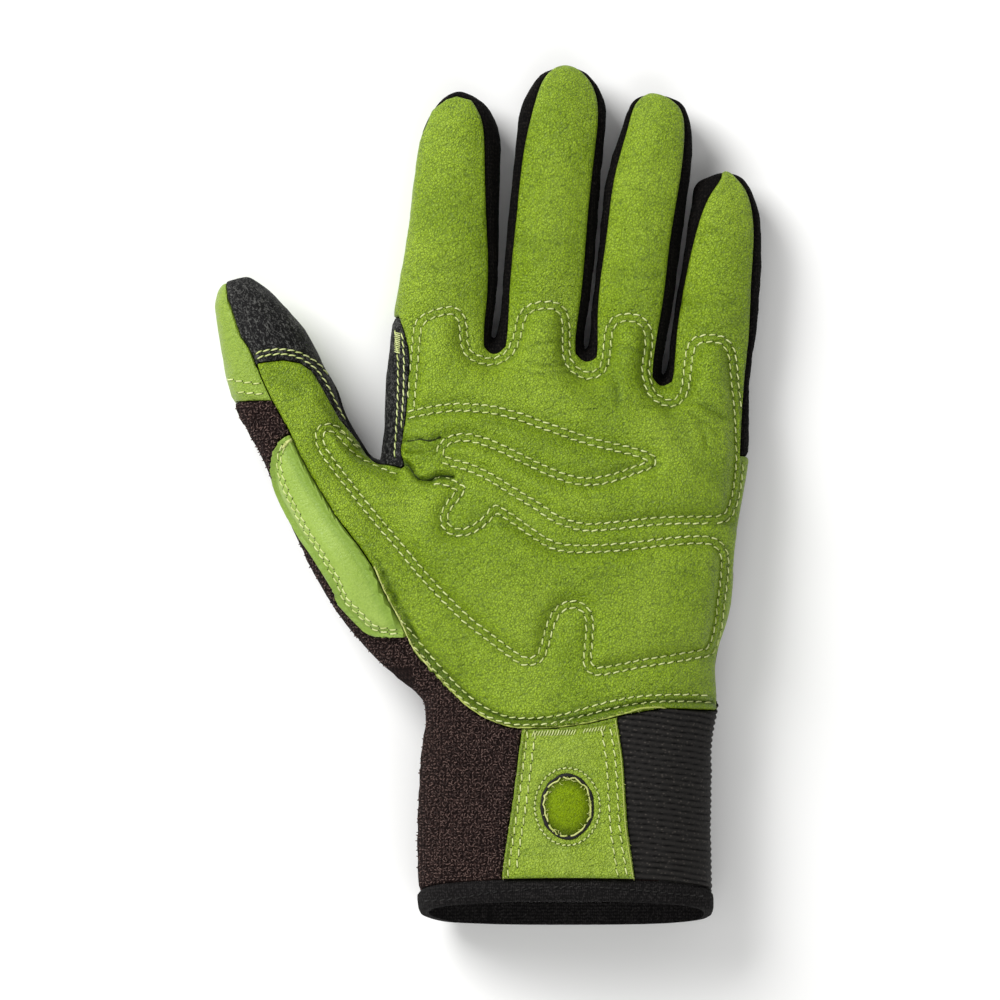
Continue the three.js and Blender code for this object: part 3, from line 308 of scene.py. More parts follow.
def build_cage():
    cage = Cage()
    slot_line = OUTER_EDGE
    axes = []
    for finger in FINGERS:
        axes.append((slot_line + finger.width / 2, (finger.root_left + finger.root_right) / 2 * PALM_LENGTH))
        slot_line += finger.width

    def section(number, row):
        finger, (root_x, root_y) = FINGERS[number], axes[number]
        axis = root_x + finger.lean * finger.width * row.at
        top, bottom = FINGER_DEPTH * (0.5 + row.depth / 2), FINGER_DEPTH * (0.5 - row.depth / 2)
        left, right = axis + row.left * finger.width, axis + row.right * finger.width
        middle, half = (left + right) / 2, (right - left) / 2
        level = FINGER_DEPTH * FINGER_LEVEL

        def front(x):
            return level + (top - level) * rounded((x - middle) / half, FINGER_ROUND[0])

        def back(x):
            return level - (level - bottom + FLATTENED) * rounded((x - middle) / half, FINGER_ROUND[1])

        return axis, root_y + finger.length * row.at, left, right, middle, half, level, front, back

    def root_ring(number):
        finger, row = FINGERS[number], FINGERS[number].sections[0]
        axis, _, left, right, _, _, level, front, back = section(number, row)
        shares = [row.leather_left, (row.leather_left + row.leather_right) / 2, row.leather_right]
        along_left, along_right = finger.root_left * PALM_LENGTH, finger.root_right * PALM_LENGTH
        along = [along_left, (along_left + along_right) / 2, along_right]
        xs = [axis + share * finger.width for share in shares]
        fronts = [cage.point(x, y, front(x)) for x, y in zip(xs, along)]
        backs = [cage.point(x, y, back(x)) for x, y in zip(xs, along)]
        rise = SLOT_RISE * finger.width
        edge = axes[number][0]
        if number > 0:
            left, along_left = edge - finger.width / 2 + FINGER_GAP / 2, along_left + rise
        if number < len(FINGERS) - 1:
            right, along_right = edge + finger.width / 2 - FINGER_GAP / 2, along_right + rise
        return [cage.point(left, along_left, level), *fronts, cage.point(right, along_right, level), *backs[::-1]]

    def finger_ring(number, row):
        axis, y, left, right, middle, half, level, front, back = section(number, row)
        front_left = axis + row.leather_left * FINGERS[number].width
        front_right = axis + row.leather_right * FINGERS[number].width
        front_middle = (front_left + front_right) / 2
        back_left, back_right = middle - BACK_COLUMN * half, middle + BACK_COLUMN * half
        return [
            cage.point(left, y, level),
            *[cage.point(x, y, front(x)) for x in (front_left, front_middle, front_right)],
            cage.point(right, y, level),
            *[cage.point(x, y, back(x)) for x in (back_right, middle, back_left)],
        ]

    roots = [root_ring(number) for number in range(len(FINGERS))]
    for number, finger in enumerate(FINGERS):
        rings = [roots[number]] + [finger_ring(number, row) for row in finger.sections[1:]]
        for k, (low, high) in enumerate(zip(rings, rings[1:])):
            for j, column in enumerate(FINGER_ORDER):
                after = (j + 1) % FINGER_SIDES
                cage.face(finger_label(number, column, k), low[after], low[j], high[j], high[after])
        end = rings[-1]
        root_x, root_y = axes[number]
        tip = cage.point(root_x + finger.lean * finger.width, root_y + finger.length, FINGER_DEPTH * FINGER_LEVEL)
        for j in range(1, FINGER_SIDES, 2):
            label = finger_label(number, FINGER_ORDER[j], len(rings) - 1)
            cage.face(label, end[(j + 2) % FINGER_SIDES], end[(j + 1) % FINGER_SIDES], end[j], tip)
    for number, (root, beside) in enumerate(zip(roots, roots[1:])):
        cage.face(FOURCHETTES[number], beside[1], root[3], root[4], beside[0])
        cage.face(FOURCHETTES[number], beside[0], root[4], root[5], beside[7])

    knuckles = [roots[0][0]] + [p for root in roots for p in root[1:4]] + [roots[-1][4]]
    knuckles += [p for root in reversed(roots) for p in root[5:8]]
    xs = [cage.points[p][0] for p in knuckles[1:1 + FRONT_COLUMNS]]
    shares = [(x - xs[0]) / (xs[-1] - xs[0]) for x in xs]
    evens = [j / (FRONT_COLUMNS - 1) for j in range(FRONT_COLUMNS)]

    def ring(left, right, parts, columns, y_at, slant):
        level, front, back = parts

        def place(x, t, z):
            return cage.point(x, y_at(t) + slant * (z - level) / level, z)

        fronts = [place(x, t, front(x)) for x, t in zip(columns, evens)]
        backs = [place(x, t, back(x)) for x, t in zip(columns, evens)]
        ends = cage.point(left, y_at(0), level), cage.point(right, y_at(1), level)
        return [ends[0], *fronts, ends[1], *backs[::-1]]

    rows = [knuckles]
    for k, row in enumerate(PALM_ROWS):
        first, last = row.first * ACROSS, row.last * ACROSS
        columns = [mix(first, last, mix(share, even, row.even)) for share, even in zip(shares, evens)]
        left, right = row.left * ACROSS, row.right * ACROSS
        parts = body_section(left, right, row.depth * PALM_DEPTH, PALM_ROUND)
        ends = row.along_left * PALM_LENGTH, row.along_right * PALM_LENGTH
        ids = ring(left, right, parts, columns, lambda t: mix(ends[0], ends[1], t), 0)
        for at, (across, along) in ((CROTCH_ROW, CROTCH), (CROTCH_ROW + THUMB_ROWS, THUMB_HEEL)):
            if k + 1 == at:
                cage.points[ids[0]] = (across * ACROSS, along * PALM_LENGTH, parts[0])
        rows.append(ids)
    first_cuff_row = len(rows)
    for row in CUFF_ROWS:
        left, right = CUFF_MIDDLE + row.left * CUFF_WIDTH, CUFF_MIDDLE + row.right * CUFF_WIDTH
        parts = body_section(left, right, row.depth * CUFF_DEPTH, CUFF_ROUND)
        first, last = left + CUFF_EDGE[0] * CUFF_WIDTH, right - CUFF_EDGE[1] * CUFF_WIDTH
        columns = [mix(first, last, even) for even in evens]
        y = WRIST - row.at * CUFF_LENGTH
        rows.append(ring(left, right, parts, columns, lambda t: y, row.slant * RIM_SLANT))
    for k, (above, below) in enumerate(zip(rows, rows[1:])):
        for j in range(RING_SIZE):
            if CROTCH_ROW <= k < CROTCH_ROW + THUMB_ROWS and j in (0, RING_SIZE - 1):
                continue
            after = (j + 1) % RING_SIZE
            label = body_label(k, j, first_cuff_row, len(rows) - 2)
            cage.face(label, above[j], above[after], below[after], below[j])

    span = range(CROTCH_ROW, CROTCH_ROW + THUMB_ROWS + 1)
    rings = [[rows[span[0]][0]] + [rows[k][1] for k in span] + [rows[span[-1]][0]]
             + [rows[k][-1] for k in reversed(span)]]
    origin = CROTCH[0] * ACROSS, CROTCH[1] * PALM_LENGTH
    for item in THUMB_RINGS:
        ids = []
        for j in range(THUMB_SIDES):
            angle = 2 * math.pi * j / THUMB_SIDES
            side = math.copysign(abs(math.cos(angle)) ** THUMB_ROUND, math.cos(angle))
            rise = math.copysign(abs(math.sin(angle)) ** THUMB_ROUND, math.sin(angle))
            t = 0.5 - side / 2
            ids.append(cage.point(
                origin[0] + mix(item.in_x, item.out_x, t) * THUMB_LENGTH,
                origin[1] + mix(item.in_y, item.out_y, t) * THUMB_LENGTH,
                (item.height + item.half * rise) * THUMB_DEPTH))
        rings.append(ids)

    def thumb_label(column):
        if column == THUMB_SIDES - 1:
            return "thumb_tip_cover"
        return "thumb_front" if column < THUMB_SIDES / 2 else "thumb_back"

    for low, high in zip(rings, rings[1:]):
        for j in range(THUMB_SIDES):
            after = (j + 1) % THUMB_SIDES
            cage.face(thumb_label(j), low[j], low[after], high[after], high[j])
    tip = cage.point(
        origin[0] + THUMB_TIP[0] * THUMB_LENGTH, origin[1] + THUMB_TIP[1] * THUMB_LENGTH, THUMB_TIP[2] * THUMB_DEPTH)
    end = rings[-1]
    for j in range(0, THUMB_SIDES, 2):
        cage.face(thumb_label(j), end[j], end[j + 1], end[(j + 2) % THUMB_SIDES], tip)
    return cage


# Smooth subdivision
def gathered(count, ids, values):
    """Sum of values for each id."""
    return np.stack([np.bincount(ids, weights=values[:, axis], minlength=count) for axis in range(3)], axis=1)


def neighbourhood(count, faces):
    """Edges of a quad mesh with the edge of each face side, and which edges and points lie on the border."""
    starts, ends = faces.ravel(), np.roll(faces, -1, axis=1).ravel()
    keys = np.sort(np.stack([starts, ends], axis=1), axis=1)
    edges, side_edge = np.unique(keys, axis=0, return_inverse=True)
    side_edge = side_edge.reshape(-1)
    on_border = np.bincount(side_edge) == 1
    return edges, side_edge, on_border


def around(points, faces, edges, on_border):
    """Valence, sums over neighbours and opposite corners, and the same on the border."""
    count = len(points)
    ends = np.concatenate([edges[:, 0], edges[:, 1]])
    others = np.concatenate([edges[:, 1], edges[:, 0]])
    valence = np.bincount(ends, minlength=count).astype(float)
    near = gathered(count, ends, points[others])
    far = gathered(count, faces.ravel(), points[np.roll(faces, -2, axis=1).ravel()])
    rim = edges[on_border]
    rim_ends, rim_others = np.concatenate([rim[:, 0], rim[:, 1]]), np.concatenate([rim[:, 1], rim[:, 0]])
    rim_near = gathered(count, rim_ends, points[rim_others])
    is_rim = np.bincount(rim_ends, minlength=count) > 0
    return valence[:, None], near, far, rim_near, is_rim[:, None]


def limit_points(points, faces):
    edges, _, on_border = neighbourhood(len(points), faces)
    n, near, far, rim_near, is_rim = around(points, faces, edges, on_border)
    inner = (n * n * points + 4 * near + far) / (n * (n + 5))
    return np.where(is_rim, (4 * points + rim_near) / 6, inner)


def subdivide(points, faces, labels):
    count = len(points)
    edges, side_edge, on_border = neighbourhood(count, faces)
    n, near, far, rim_near, is_rim = around(points, faces, edges, on_border)
    moved = (1 - 7 / (4 * n)) * points + 3 / (2 * n * n) * near + far / (4 * n * n)
    moved = np.where(is_rim, (6 * points + rim_near) / 8, moved)
    centres = points[faces].mean(axis=1)
    middles = points[edges].mean(axis=1)
    beside = gathered(len(edges), side_edge, np.repeat(centres, 4, axis=0))
    middles = np.where(on_border[:, None], middles, middles / 2 + beside / 4)
    ahead = count + side_edge.reshape(-1, 4)
    behind = np.roll(ahead, 1, axis=1)
    centre_ids = np.repeat(count + len(edges) + np.arange(len(faces))[:, None], 4, axis=1)
    finer = np.stack([faces, ahead, centre_ids, behind], axis=2).reshape(-1, 4)
    return np.concatenate([moved, middles, centres]), finer, np.repeat(labels, 4)


def point_normals(points, faces):
    a, b, c, d = (points[faces[:, i]] for i in range(4))
    cross = np.cross(c - a, d - b)
    normals = gathered(len(points), faces.ravel(), np.repeat(cross, 4, axis=0))
    return normals / np.maximum(np.linalg.norm(normals, axis=1, keepdims=True), 1e-12)


def fitted(points, faces):
    """Cage points moved until the smooth surface passes through where they were."""
    targets = points.copy()
    for _ in range(FITTING_ROUNDS):
        points = points + targets - limit_points(points, faces)
    return points


# Cutting the surface into panels
def inside_outline(outline):
    """Signed distance to a closed outline, positive inside, as a function of points."""
    corners = np.array(outline)

    def field(points):
        x, y = points[:, 0], points[:, 1]
        best = np.full(len(points), np.inf)
        inside = np.zeros(len(points), bool)
        for (x1, y1), (x2, y2) in zip(corners, np.roll(corners, -1, axis=0)):
            along = (x - x1) * (x2 - x1) + (y - y1) * (y2 - y1)
            t = np.clip(along / ((x2 - x1) ** 2 + (y2 - y1) ** 2), 0, 1)
            best = np.minimum(best, np.hypot(x - mix(x1, x2, t), y - mix(y1, y2, t)))
            if y1 != y2:
                crosses = ((y1 > y) != (y2 > y)) & (x < x1 + (y - y1) / (y2 - y1) * (x2 - x1))
                inside ^= crosses
        return np.where(inside, best, -best)

    return field


class Surface:
    """Triangles of the smooth surface with a piece name each."""

    def __init__(self, cage, level):
        used, faces = np.unique(np.array(cage.faces), return_inverse=True)
        faces = faces.reshape(-1, 4)
        labels = np.array(cage.labels, dtype="U32")
        points = fitted(np.array(cage.points)[used], faces)
        for _ in range(level):
            points, faces, labels = subdivide(points, faces, labels)
        self.points = limit_points(points, faces)
        self.points[:, 2] = np.maximum(self.points[:, 2], 0)
        self.normals = point_normals(self.points, faces)
        self.triangles = np.concatenate([faces[:, [0, 1, 2]], faces[:, [0, 2, 3]]])
        self.labels = np.concatenate([labels, labels])

    def relabel(self, old, new):
        self.labels[self.labels == old] = new

    def cut(self, label, field, inner):
        """Splits the triangles of one label where the field changes sign; the part above zero gets a new label."""
        points, normals, triangles = self.points, self.normals, self.triangles
        mine = self.labels == label
        ids = np.unique(triangles[mine])
        values = np.full(len(points), np.nan)
        values[ids] = field(points[ids])

        def sides(which):
            corners = triangles[which]
            pairs = np.concatenate([corners[:, [0, 1]], corners[:, [1, 2]], corners[:, [2, 0]]])
            return np.unique(np.sort(pairs, axis=1), axis=0)

        pairs = sides(mine)
        pairs = np.concatenate([pairs, pairs[:, ::-1]])
        first, second = values[pairs[:, 0]], values[pairs[:, 1]]
        across = first * second < 0
        pairs, share = pairs[across], (first / (first - second + 1e-30))[across]
        near = share < SNAP
        pairs, share = pairs[near], share[near]
        order = np.argsort(-share, kind="stable")
        moved = points.copy()
        for k in order:
            moved[pairs[k, 0]] = mix(points[pairs[k, 0]], points[pairs[k, 1]], share[k])
        values[pairs[:, 0]] = 0
        points = moved

        pairs = sides(mine)
        first, second = values[pairs[:, 0]], values[pairs[:, 1]]
        across = first * second < 0
        pairs, share = pairs[across], (first[across] / (first - second)[across])[:, None]
        count = len(points)
        self.points = np.concatenate([points, mix(points[pairs[:, 0]], points[pairs[:, 1]], share)])
        bent = mix(normals[pairs[:, 0]], normals[pairs[:, 1]], share)
        self.normals = np.concatenate([normals, bent / np.linalg.norm(bent, axis=1, keepdims=True)])
        values = np.concatenate([values, np.zeros(len(pairs))])
        scale = count + len(pairs) + 1
        keys = pairs[:, 0] * scale + pairs[:, 1]
        order = np.argsort(keys)
        keys, new_ids = keys[order], (count + np.arange(len(pairs)))[order]

        def new_point(a, b):
            """Id of the new point on each side, or -1."""
            key = np.minimum(a, b) * scale + np.maximum(a, b)
            at = np.clip(np.searchsorted(keys, key), 0, max(len(keys) - 1, 0))
            if not len(keys):
                return np.full(len(a), -1)
            return np.where(keys[at] == key, new_ids[at], -1)

        marks = np.stack([new_point(triangles[:, i], triangles[:, (i + 1) % 3]) for i in range(3)], axis=1)
        split = (marks >= 0).sum(axis=1)
        out_triangles, out_labels = [triangles[split == 0]], [self.labels[split == 0]]

        def add(which, *corners):
            out_triangles.append(np.stack(corners, axis=1))
            out_labels.append(self.labels[which])

        for turn in range(3):
            corner = [triangles[:, (turn + i) % 3] for i in range(3)]
            mark = [marks[:, (turn + i) % 3] for i in range(3)]
            which = (split == 1) & (mark[0] >= 0)
            a, b, c, m = corner[0][which], corner[1][which], corner[2][which], mark[0][which]
            add(which, a, m, c)
            add(which, m, b, c)
            which = (split == 2) & (mark[2] < 0)
            a, b, c = (v[which] for v in corner)
            m, n = mark[0][which], mark[1][which]
            add(which, m, b, n)
            add(which, a, m, n)
            add(which, a, n, c)
        which = split == 3
        a, b, c = (triangles[which, i] for i in range(3))
        m, n, o = (marks[which, i] for i in range(3))
        for corners in ((a, m, o), (m, b, n), (n, c, o), (m, n, o)):
            add(which, *corners)
        self.triangles = np.concatenate(out_triangles)
        self.labels = np.concatenate(out_labels)
        mine = np.nonzero(self.labels == label)[0]
        above = values[self.triangles[mine]].sum(axis=1) >= 0
        self.labels[mine[above]] = inner


def curved(points, closed=True, steps=4):
    """Smooth curve through the points, with some steps between neighbours."""
    p = np.array(points, float)
    if not closed:
        p = np.concatenate([2 * p[:1] - p[1:2], p, 2 * p[-1:] - p[-2:-1]])
    spans = len(p) if closed else len(p) - 3
    result = []
    for k in range(spans):
        a, b, c, d = (p[(k + i) % len(p)] for i in range(4))
        for t in np.arange(steps) / steps:
            result.append(0.5 * (2 * b + (c - a) * t + (2 * a - 5 * b + 4 * c - d) * t * t
                                 + (3 * b - a - 3 * c + d) * t ** 3))
    if not closed:
        result.append(p[-2])
    return np.array(result)


def on_palm(outline):
    return np.array(outline) * (ACROSS, PALM_LENGTH)


def on_cuff(outline):
    return np.array([CUFF_MIDDLE, WRIST]) + np.array(outline) * (CUFF_WIDTH, -CUFF_LENGTH)


def on_index(outline):
    finger = FINGERS[0]
    root = np.array([OUTER_EDGE + finger.width / 2, (finger.root_left + finger.root_right) / 2 * PALM_LENGTH])
    return [root + (finger.width * (across + finger.lean * along), finger.length * along) for across, along in outline]


HOLE_MIDDLE = on_cuff([HOLE_CENTRE])[0]
HOLE_X, HOLE_Y = HOLE_MIDDLE


def panels(level):
    """The smooth surface at a level, cut into the glove's pieces."""
    surface = Surface(the_cage, level)
    palm = inside_outline(on_palm(PALM_OUTLINE))
    for label in ("palm_front", "thumb_front", "cuff_front"):
        surface.cut(label, palm, "palm_leather")
    surface.cut("index_front", inside_outline(on_index(INDEX_TIP_OUTLINE)), "fourchette_index_middle")
    surface.cut("index_front", palm, "palm_leather")
    surface.relabel("index_front", "index_side_patch")
    surface.cut("index_wrap", lambda p: p[:, 1] - PATCH_END * PALM_LENGTH, "palm_leather")
    surface.relabel("index_wrap", "index_side_patch")
    surface.cut("thumb_front", inside_outline(on_palm(COVER_OUTLINE)), "thumb_tip_cover")
    surface.cut("thumb_front", inside_outline(on_palm(GUARD_OUTLINE)), "thumb_guard")
    for label in ("thumb_front", "thumb_back"):
        surface.cut(label, lambda p: p[:, 1] - CAP_HEM * PALM_LENGTH, "thumb_back_cap")
        surface.relabel(label, "terry_back")
    surface.cut("palm_front", lambda p: p[:, 1], "index_side_patch")
    surface.relabel("palm_front", "terry_back")
    surface.cut("cuff_front", inside_outline(on_cuff(TAB_OUTLINE)), "cuff_tab")
    surface.cut("cuff_tab", lambda p: 1 - np.hypot(
        (p[:, 0] - HOLE_X) / (HOLE_WIDTH / 2), (p[:, 1] - HOLE_Y) / (HOLE_HEIGHT / 2)), "tab_inset")
    surface.cut("cuff_front", lambda p: p[:, 0] - HOLE_X, "cuff_elastic")
    surface.cut("cuff_back", lambda p: p[:, 0] - CUFF_MIDDLE - ELASTIC_BACK_EDGE * CUFF_WIDTH, "cuff_elastic")
    for label in ("cuff_front", "cuff_back"):
        surface.relabel(label, "terry_back")
    return surface


the_cage = build_cage()
surfaces = {level: panels(level) for level in (3, 4)}


# The part's origin is at the middle of its box, so the drawing is moved there
def box_middle(low, high):
    return (np.array(low)[:2] + np.array(high)[:2]) / 2


uncut = surfaces[3].points[np.unique(surfaces[3].triangles[surfaces[3].labels == "finger_backs"])]
SHIFT = box_middle(*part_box("finger_backs")) - box_middle(uncut.min(axis=0), uncut.max(axis=0))


# Colours as they look in the photograph, turned into the renderer's own
def colour(red, green, blue):
    channels = [v / 255 for v in (red, green, blue)]
    return tuple(v / 12.92 if v < 0.04045 else ((v + 0.055) / 1.055) ** 2.4 for v in channels) + (1,)


class Nodes:
    """A material's node tree with short helpers."""

    def __init__(self, name, roughness, specular=0.3):
        self.material = bpy.data.materials.new(name)
        self.material.use_nodes = True
        self.tree = self.material.node_tree
        self.shader = self.tree.nodes["Principled BSDF"]
        self.shader.inputs["Roughness"].default_value = roughness
        self.shader.inputs["Specular IOR Level"].default_value = specular
        self.place = self.tree.nodes.new("ShaderNodeTexCoord").outputs["Object"]

    def node(self, kind, inputs=(), **settings):
        node = self.tree.nodes.new("ShaderNode" + kind)
        for key, value in settings.items():
            setattr(node, key, value)
        for key, value in dict(inputs).items():
            if isinstance(value, bpy.types.NodeSocket):
                self.tree.links.new(value, node.inputs[key])
            else:
                node.inputs[key].default_value = value
        return node

    def stretched(self, scale, angle=0):
        """Object coordinates turned about Z and then scaled along each axis."""
        turned = self.node("VectorRotate", {"Vector": self.place, "Angle": math.radians(angle)})
        return self.node("VectorMath", {0: turned.outputs[0], 1: scale}, operation="MULTIPLY").outputs[0]

    def noise(self, scale, detail=2, distortion=0, vector=None):
        return self.node("TexNoise", {
            "Vector": vector or self.place, "Scale": scale, "Detail": detail, "Distortion": distortion}).outputs["Fac"]

    def cells(self, scale, feature="F1", vector=None, randomness=1):
        inputs = {"Vector": vector or self.place, "Scale": scale, "Randomness": randomness}
        return self.node("TexVoronoi", inputs, feature=feature).outputs["Distance"]

    def range(self, value, low, high, to_low=0, to_high=1):
        return self.node("MapRange", {
            "Value": value, "From Min": low, "From Max": high, "To Min": to_low, "To Max": to_high}).outputs[0]

    def blend(self, share, a, b):
        mixed = self.node("Mix", data_type="RGBA")
        for socket, value in ((mixed.inputs[0], share), (mixed.inputs[6], a), (mixed.inputs[7], b)):
            if isinstance(value, bpy.types.NodeSocket):
                self.tree.links.new(value, socket)
            else:
                socket.default_value = value
        return mixed.outputs[2]

    def attribute(self, name):
        return self.node("Attribute", attribute_name=name).outputs["Fac"]

    def bump(self, height, distance, strength=1, under=None):
        inputs = {"Height": height, "Distance": distance, "Strength": strength}
        if under is not None:
            inputs["Normal"] = under
        return self.node("Bump", inputs).outputs[0]

    def finish(self, base, normal=None, roughness=None):
        self.tree.links.new(base, self.shader.inputs["Base Color"])
        if normal is not None:
            self.tree.links.new(normal, self.shader.inputs["Normal"])
        if roughness is not None:
            self.tree.links.new(roughness, self.shader.inputs["Roughness"])
        return self.material


def leather(name, main, light, dark, roughness, grain=1.0, wrinkle=1.0, specular=0.35):
    """Goatskin: pebbled grain, fine wrinkles that run nearly across the hand, and soft changes of colour."""
    n = Nodes(name, roughness, specular)
    warped = n.stretched((0.8, 1.2, 1), -50)
    pebbles = n.cells(1400, "DISTANCE_TO_EDGE", warped)
    fine = n.noise(1450, 2, 0.2, warped)
    lines = n.noise(480, 3, 0.7, n.stretched((0.45, 1.3, 1), -10))
    patches = n.noise(38, 3, 0.4)
    tone = n.blend(n.range(patches, 0.4, 0.7, 0, 0.8), main, light)
    tone = n.blend(n.range(patches, 0.45, 0.3, 0, 0.1), tone, dark)
    tone = n.blend(n.range(lines, 0.45, 0.3, 0, 0.3 * wrinkle), tone, dark)
    tone = n.blend(n.range(fine, 0.5, 0.32, 0, 0.5 * grain), tone, dark)
    tone = n.blend(n.range(fine, 0.52, 0.68, 0, 0.45), tone, light)
    tone = n.blend(n.range(pebbles, 0.16, 0.0, 0, 0.6 * grain), tone, dark)
    # painted shade: darker where the mesh attribute marks grooves, creases, hollows and lips
    tone = n.blend(n.range(n.attribute("painted_shade"), 0, 1, 0, 0.9), tone, dark)
    normal = n.bump(lines, 1.1 * MM * wrinkle, 0.8)
    normal = n.bump(fine, 0.42 * MM * grain, 1, normal)
    normal = n.bump(n.range(pebbles, 0, 0.2), 0.16 * MM * grain, 0.9, normal)
    rough = n.range(fine, 0.3, 0.7, roughness - 0.08, roughness + 0.12)
    return n.finish(tone, normal, rough)


def knit(name, main, light, dark, pitch, roughness=0.9, angle=0, fuzzy=0.5):
    """Fine stretch knit: small loops in rows, with fuzz."""
    n = Nodes(name, roughness, specular=0.05)
    loops = n.cells(1 / pitch, "F1", n.stretched((1, 0.65, 1), angle), 0.4)
    fuzz = n.noise(1700, 3)
    tone = n.blend(n.range(loops, 0.15, 0.5), main, dark)
    tone = n.blend(n.range(fuzz, 0.55, 0.78, 0, fuzzy), tone, light)
    tone = n.blend(n.range(n.noise(70, 2), 0.55, 0.3, 0, 0.4), tone, dark)
    # painted shade: darker where the mesh attribute marks shade
    tone = n.blend(n.range(n.attribute("painted_shade"), 0, 1, 0, 0.8), tone, dark)
    normal = n.bump(n.range(loops, 0, 0.7, 1, 0), 0.35 * MM, 0.8)
    normal = n.bump(fuzz, 0.2 * MM, 0.6, normal)
    return n.finish(tone, normal)


def grip(name, main, light, dark):
    """Coated fabric of small raised grains that catch the light."""
    n = Nodes(name, 0.65, specular=0.15)
    grains = n.cells(1250, "F1", n.stretched((1, 0.8, 1), 35), 0.8)
    strands = n.noise(1150, 3, 1.6, n.stretched((1.1, 0.6, 1), -32))
    tone = n.blend(n.range(grains, 0.5, 0.15), dark, main)
    tone = n.blend(n.range(strands, 0.5, 0.66, 0, 0.85), tone, light)
    normal = n.bump(n.range(grains, 0, 0.5, 1, 0), 0.3 * MM, 0.9)
    normal = n.bump(strands, 0.4 * MM, 0.7, normal)
    return n.finish(tone, normal)


def ribbed(name, main, light, dark):
    """Ribs are in the mesh, with painted shade in the furrows between them and small bright flecks along each."""
    n = Nodes(name, 0.75, specular=0.2)
    flecks = n.cells(950, "F1", n.stretched((0.75, 1, 1)), 1)
    fuzz = n.noise(1500, 2)
    tone = n.blend(n.range(flecks, 0.3, 0.12, 0, 0.6), main, light)
    tone = n.blend(n.range(fuzz, 0.6, 0.8, 0, 0.35), tone, light)
    # painted shade: dark in the furrows between the ribs
    tone = n.blend(n.attribute("painted_shade"), tone, dark)
    return n.finish(tone, n.bump(flecks, 0.2 * MM, 0.6))


def thread_material(name, light, dark):
    n = Nodes(name, 0.65, specular=0.25)
    twist = n.noise(2500, 2)
    tone = n.blend(n.attribute("tone"), dark, light)
    tone = n.blend(n.range(twist, 0.4, 0.6, 0, 0.35), tone, dark)
    return n.finish(tone, n.bump(twist, 0.12 * MM, 0.6))


# Each material's main, light and dark colour
green_leather = leather(
    "green_leather", colour(132, 161, 6), colour(156, 184, 42), colour(58, 82, 0), 0.45)
# A lighter copy of the green leather for the tab: painted light, where the tab looks more brightly lit than the palm
tab_leather_painted_light = leather(
    "tab_leather_painted_light", colour(148, 174, 34), colour(166, 190, 74), colour(78, 104, 6), 0.45, grain=0.9)
cap_leather = leather(
    "cap_leather", colour(132, 158, 46), colour(148, 174, 66), colour(80, 108, 20), 0.42, grain=0.6, wrinkle=0.6)
light_leather = leather(
    "light_leather", colour(144, 172, 68), colour(158, 184, 84), colour(92, 124, 30), 0.4, grain=0.3, wrinkle=0.25)
# the inset's very dark colour is mostly used for the painted shade towards the hole's edge
inset_leather = leather(
    "inset_leather", colour(120, 146, 0), colour(134, 160, 4), colour(36, 50, 0), 0.45, grain=0.6, wrinkle=0.5,
    specular=0.1)
black_stretch = knit("black_stretch", colour(25, 23, 21), colour(62, 56, 51), colour(9, 8, 8), 0.7 * MM)
brown_terry = knit("brown_terry", colour(58, 44, 41), colour(84, 67, 62), colour(24, 17, 16), 1.0 * MM, 0.95)
grip_fabric = grip("grip_fabric", colour(27, 27, 28), colour(88, 88, 85), colour(8, 8, 8))
ribbed_elastic = ribbed("ribbed_elastic", colour(34, 32, 30), colour(84, 79, 73), colour(3, 3, 3))
binding = knit("binding", colour(44, 42, 42), colour(78, 75, 73), colour(20, 19, 19), 0.6 * MM, 0.85)
cream_thread = thread_material("cream_thread", colour(222, 228, 168), colour(176, 188, 108))
# painted shade for the needle holes
painted_hole_shade = thread_material("painted_hole_shade", colour(66, 84, 8), colour(50, 66, 4))
raw_edge = thread_material("raw_edge", colour(214, 216, 146), colour(150, 166, 62))
crease_shadow = thread_material("crease_shadow", colour(44, 60, 2), colour(26, 38, 0))
dark_thread = thread_material("dark_thread", colour(40, 38, 36), colour(10, 10, 10))
terry_yarn = thread_material("terry_yarn", colour(116, 93, 86), colour(46, 34, 32))


# Closed walls from panels
def border_sides(triangles, count):
    sides = np.concatenate([triangles[:, [0, 1]], triangles[:, [1, 2]], triangles[:, [2, 0]]])
    ahead, back = sides[:, 0] * count + sides[:, 1], sides[:, 1] * count + sides[:, 0]
    return sides[~np.isin(ahead, back)]


def seam_moves(points, normals, border):
    """Moves of border points into the panel, so that neighbouring panels stay SEAM_GAP apart."""
    along = points[border[:, 1]] - points[border[:, 0]]
    total, count = np.zeros_like(points), np.zeros(len(points))
    for end in (0, 1):
        side = np.cross(normals[border[:, end]], along)
        side /= np.maximum(np.linalg.norm(side, axis=1, keepdims=True), 1e-12)
        np.add.at(total, border[:, end], side)
        np.add.at(count, border[:, end], 1)
    scale = (total ** 2).sum(axis=1) / np.maximum(count, 1)
    return total * (SEAM_GAP / 2 / np.maximum(scale, 0.5))[:, None]


def nearest(targets, points):
    """Distance from each point to the nearest target."""
    tree = KDTree(len(targets))
    for k, target in enumerate(targets):
        tree.insert((*target, 0)[:3], k)
    tree.balance()
    return np.array([tree.find((*point, 0)[:3])[2] for point in points.tolist()])


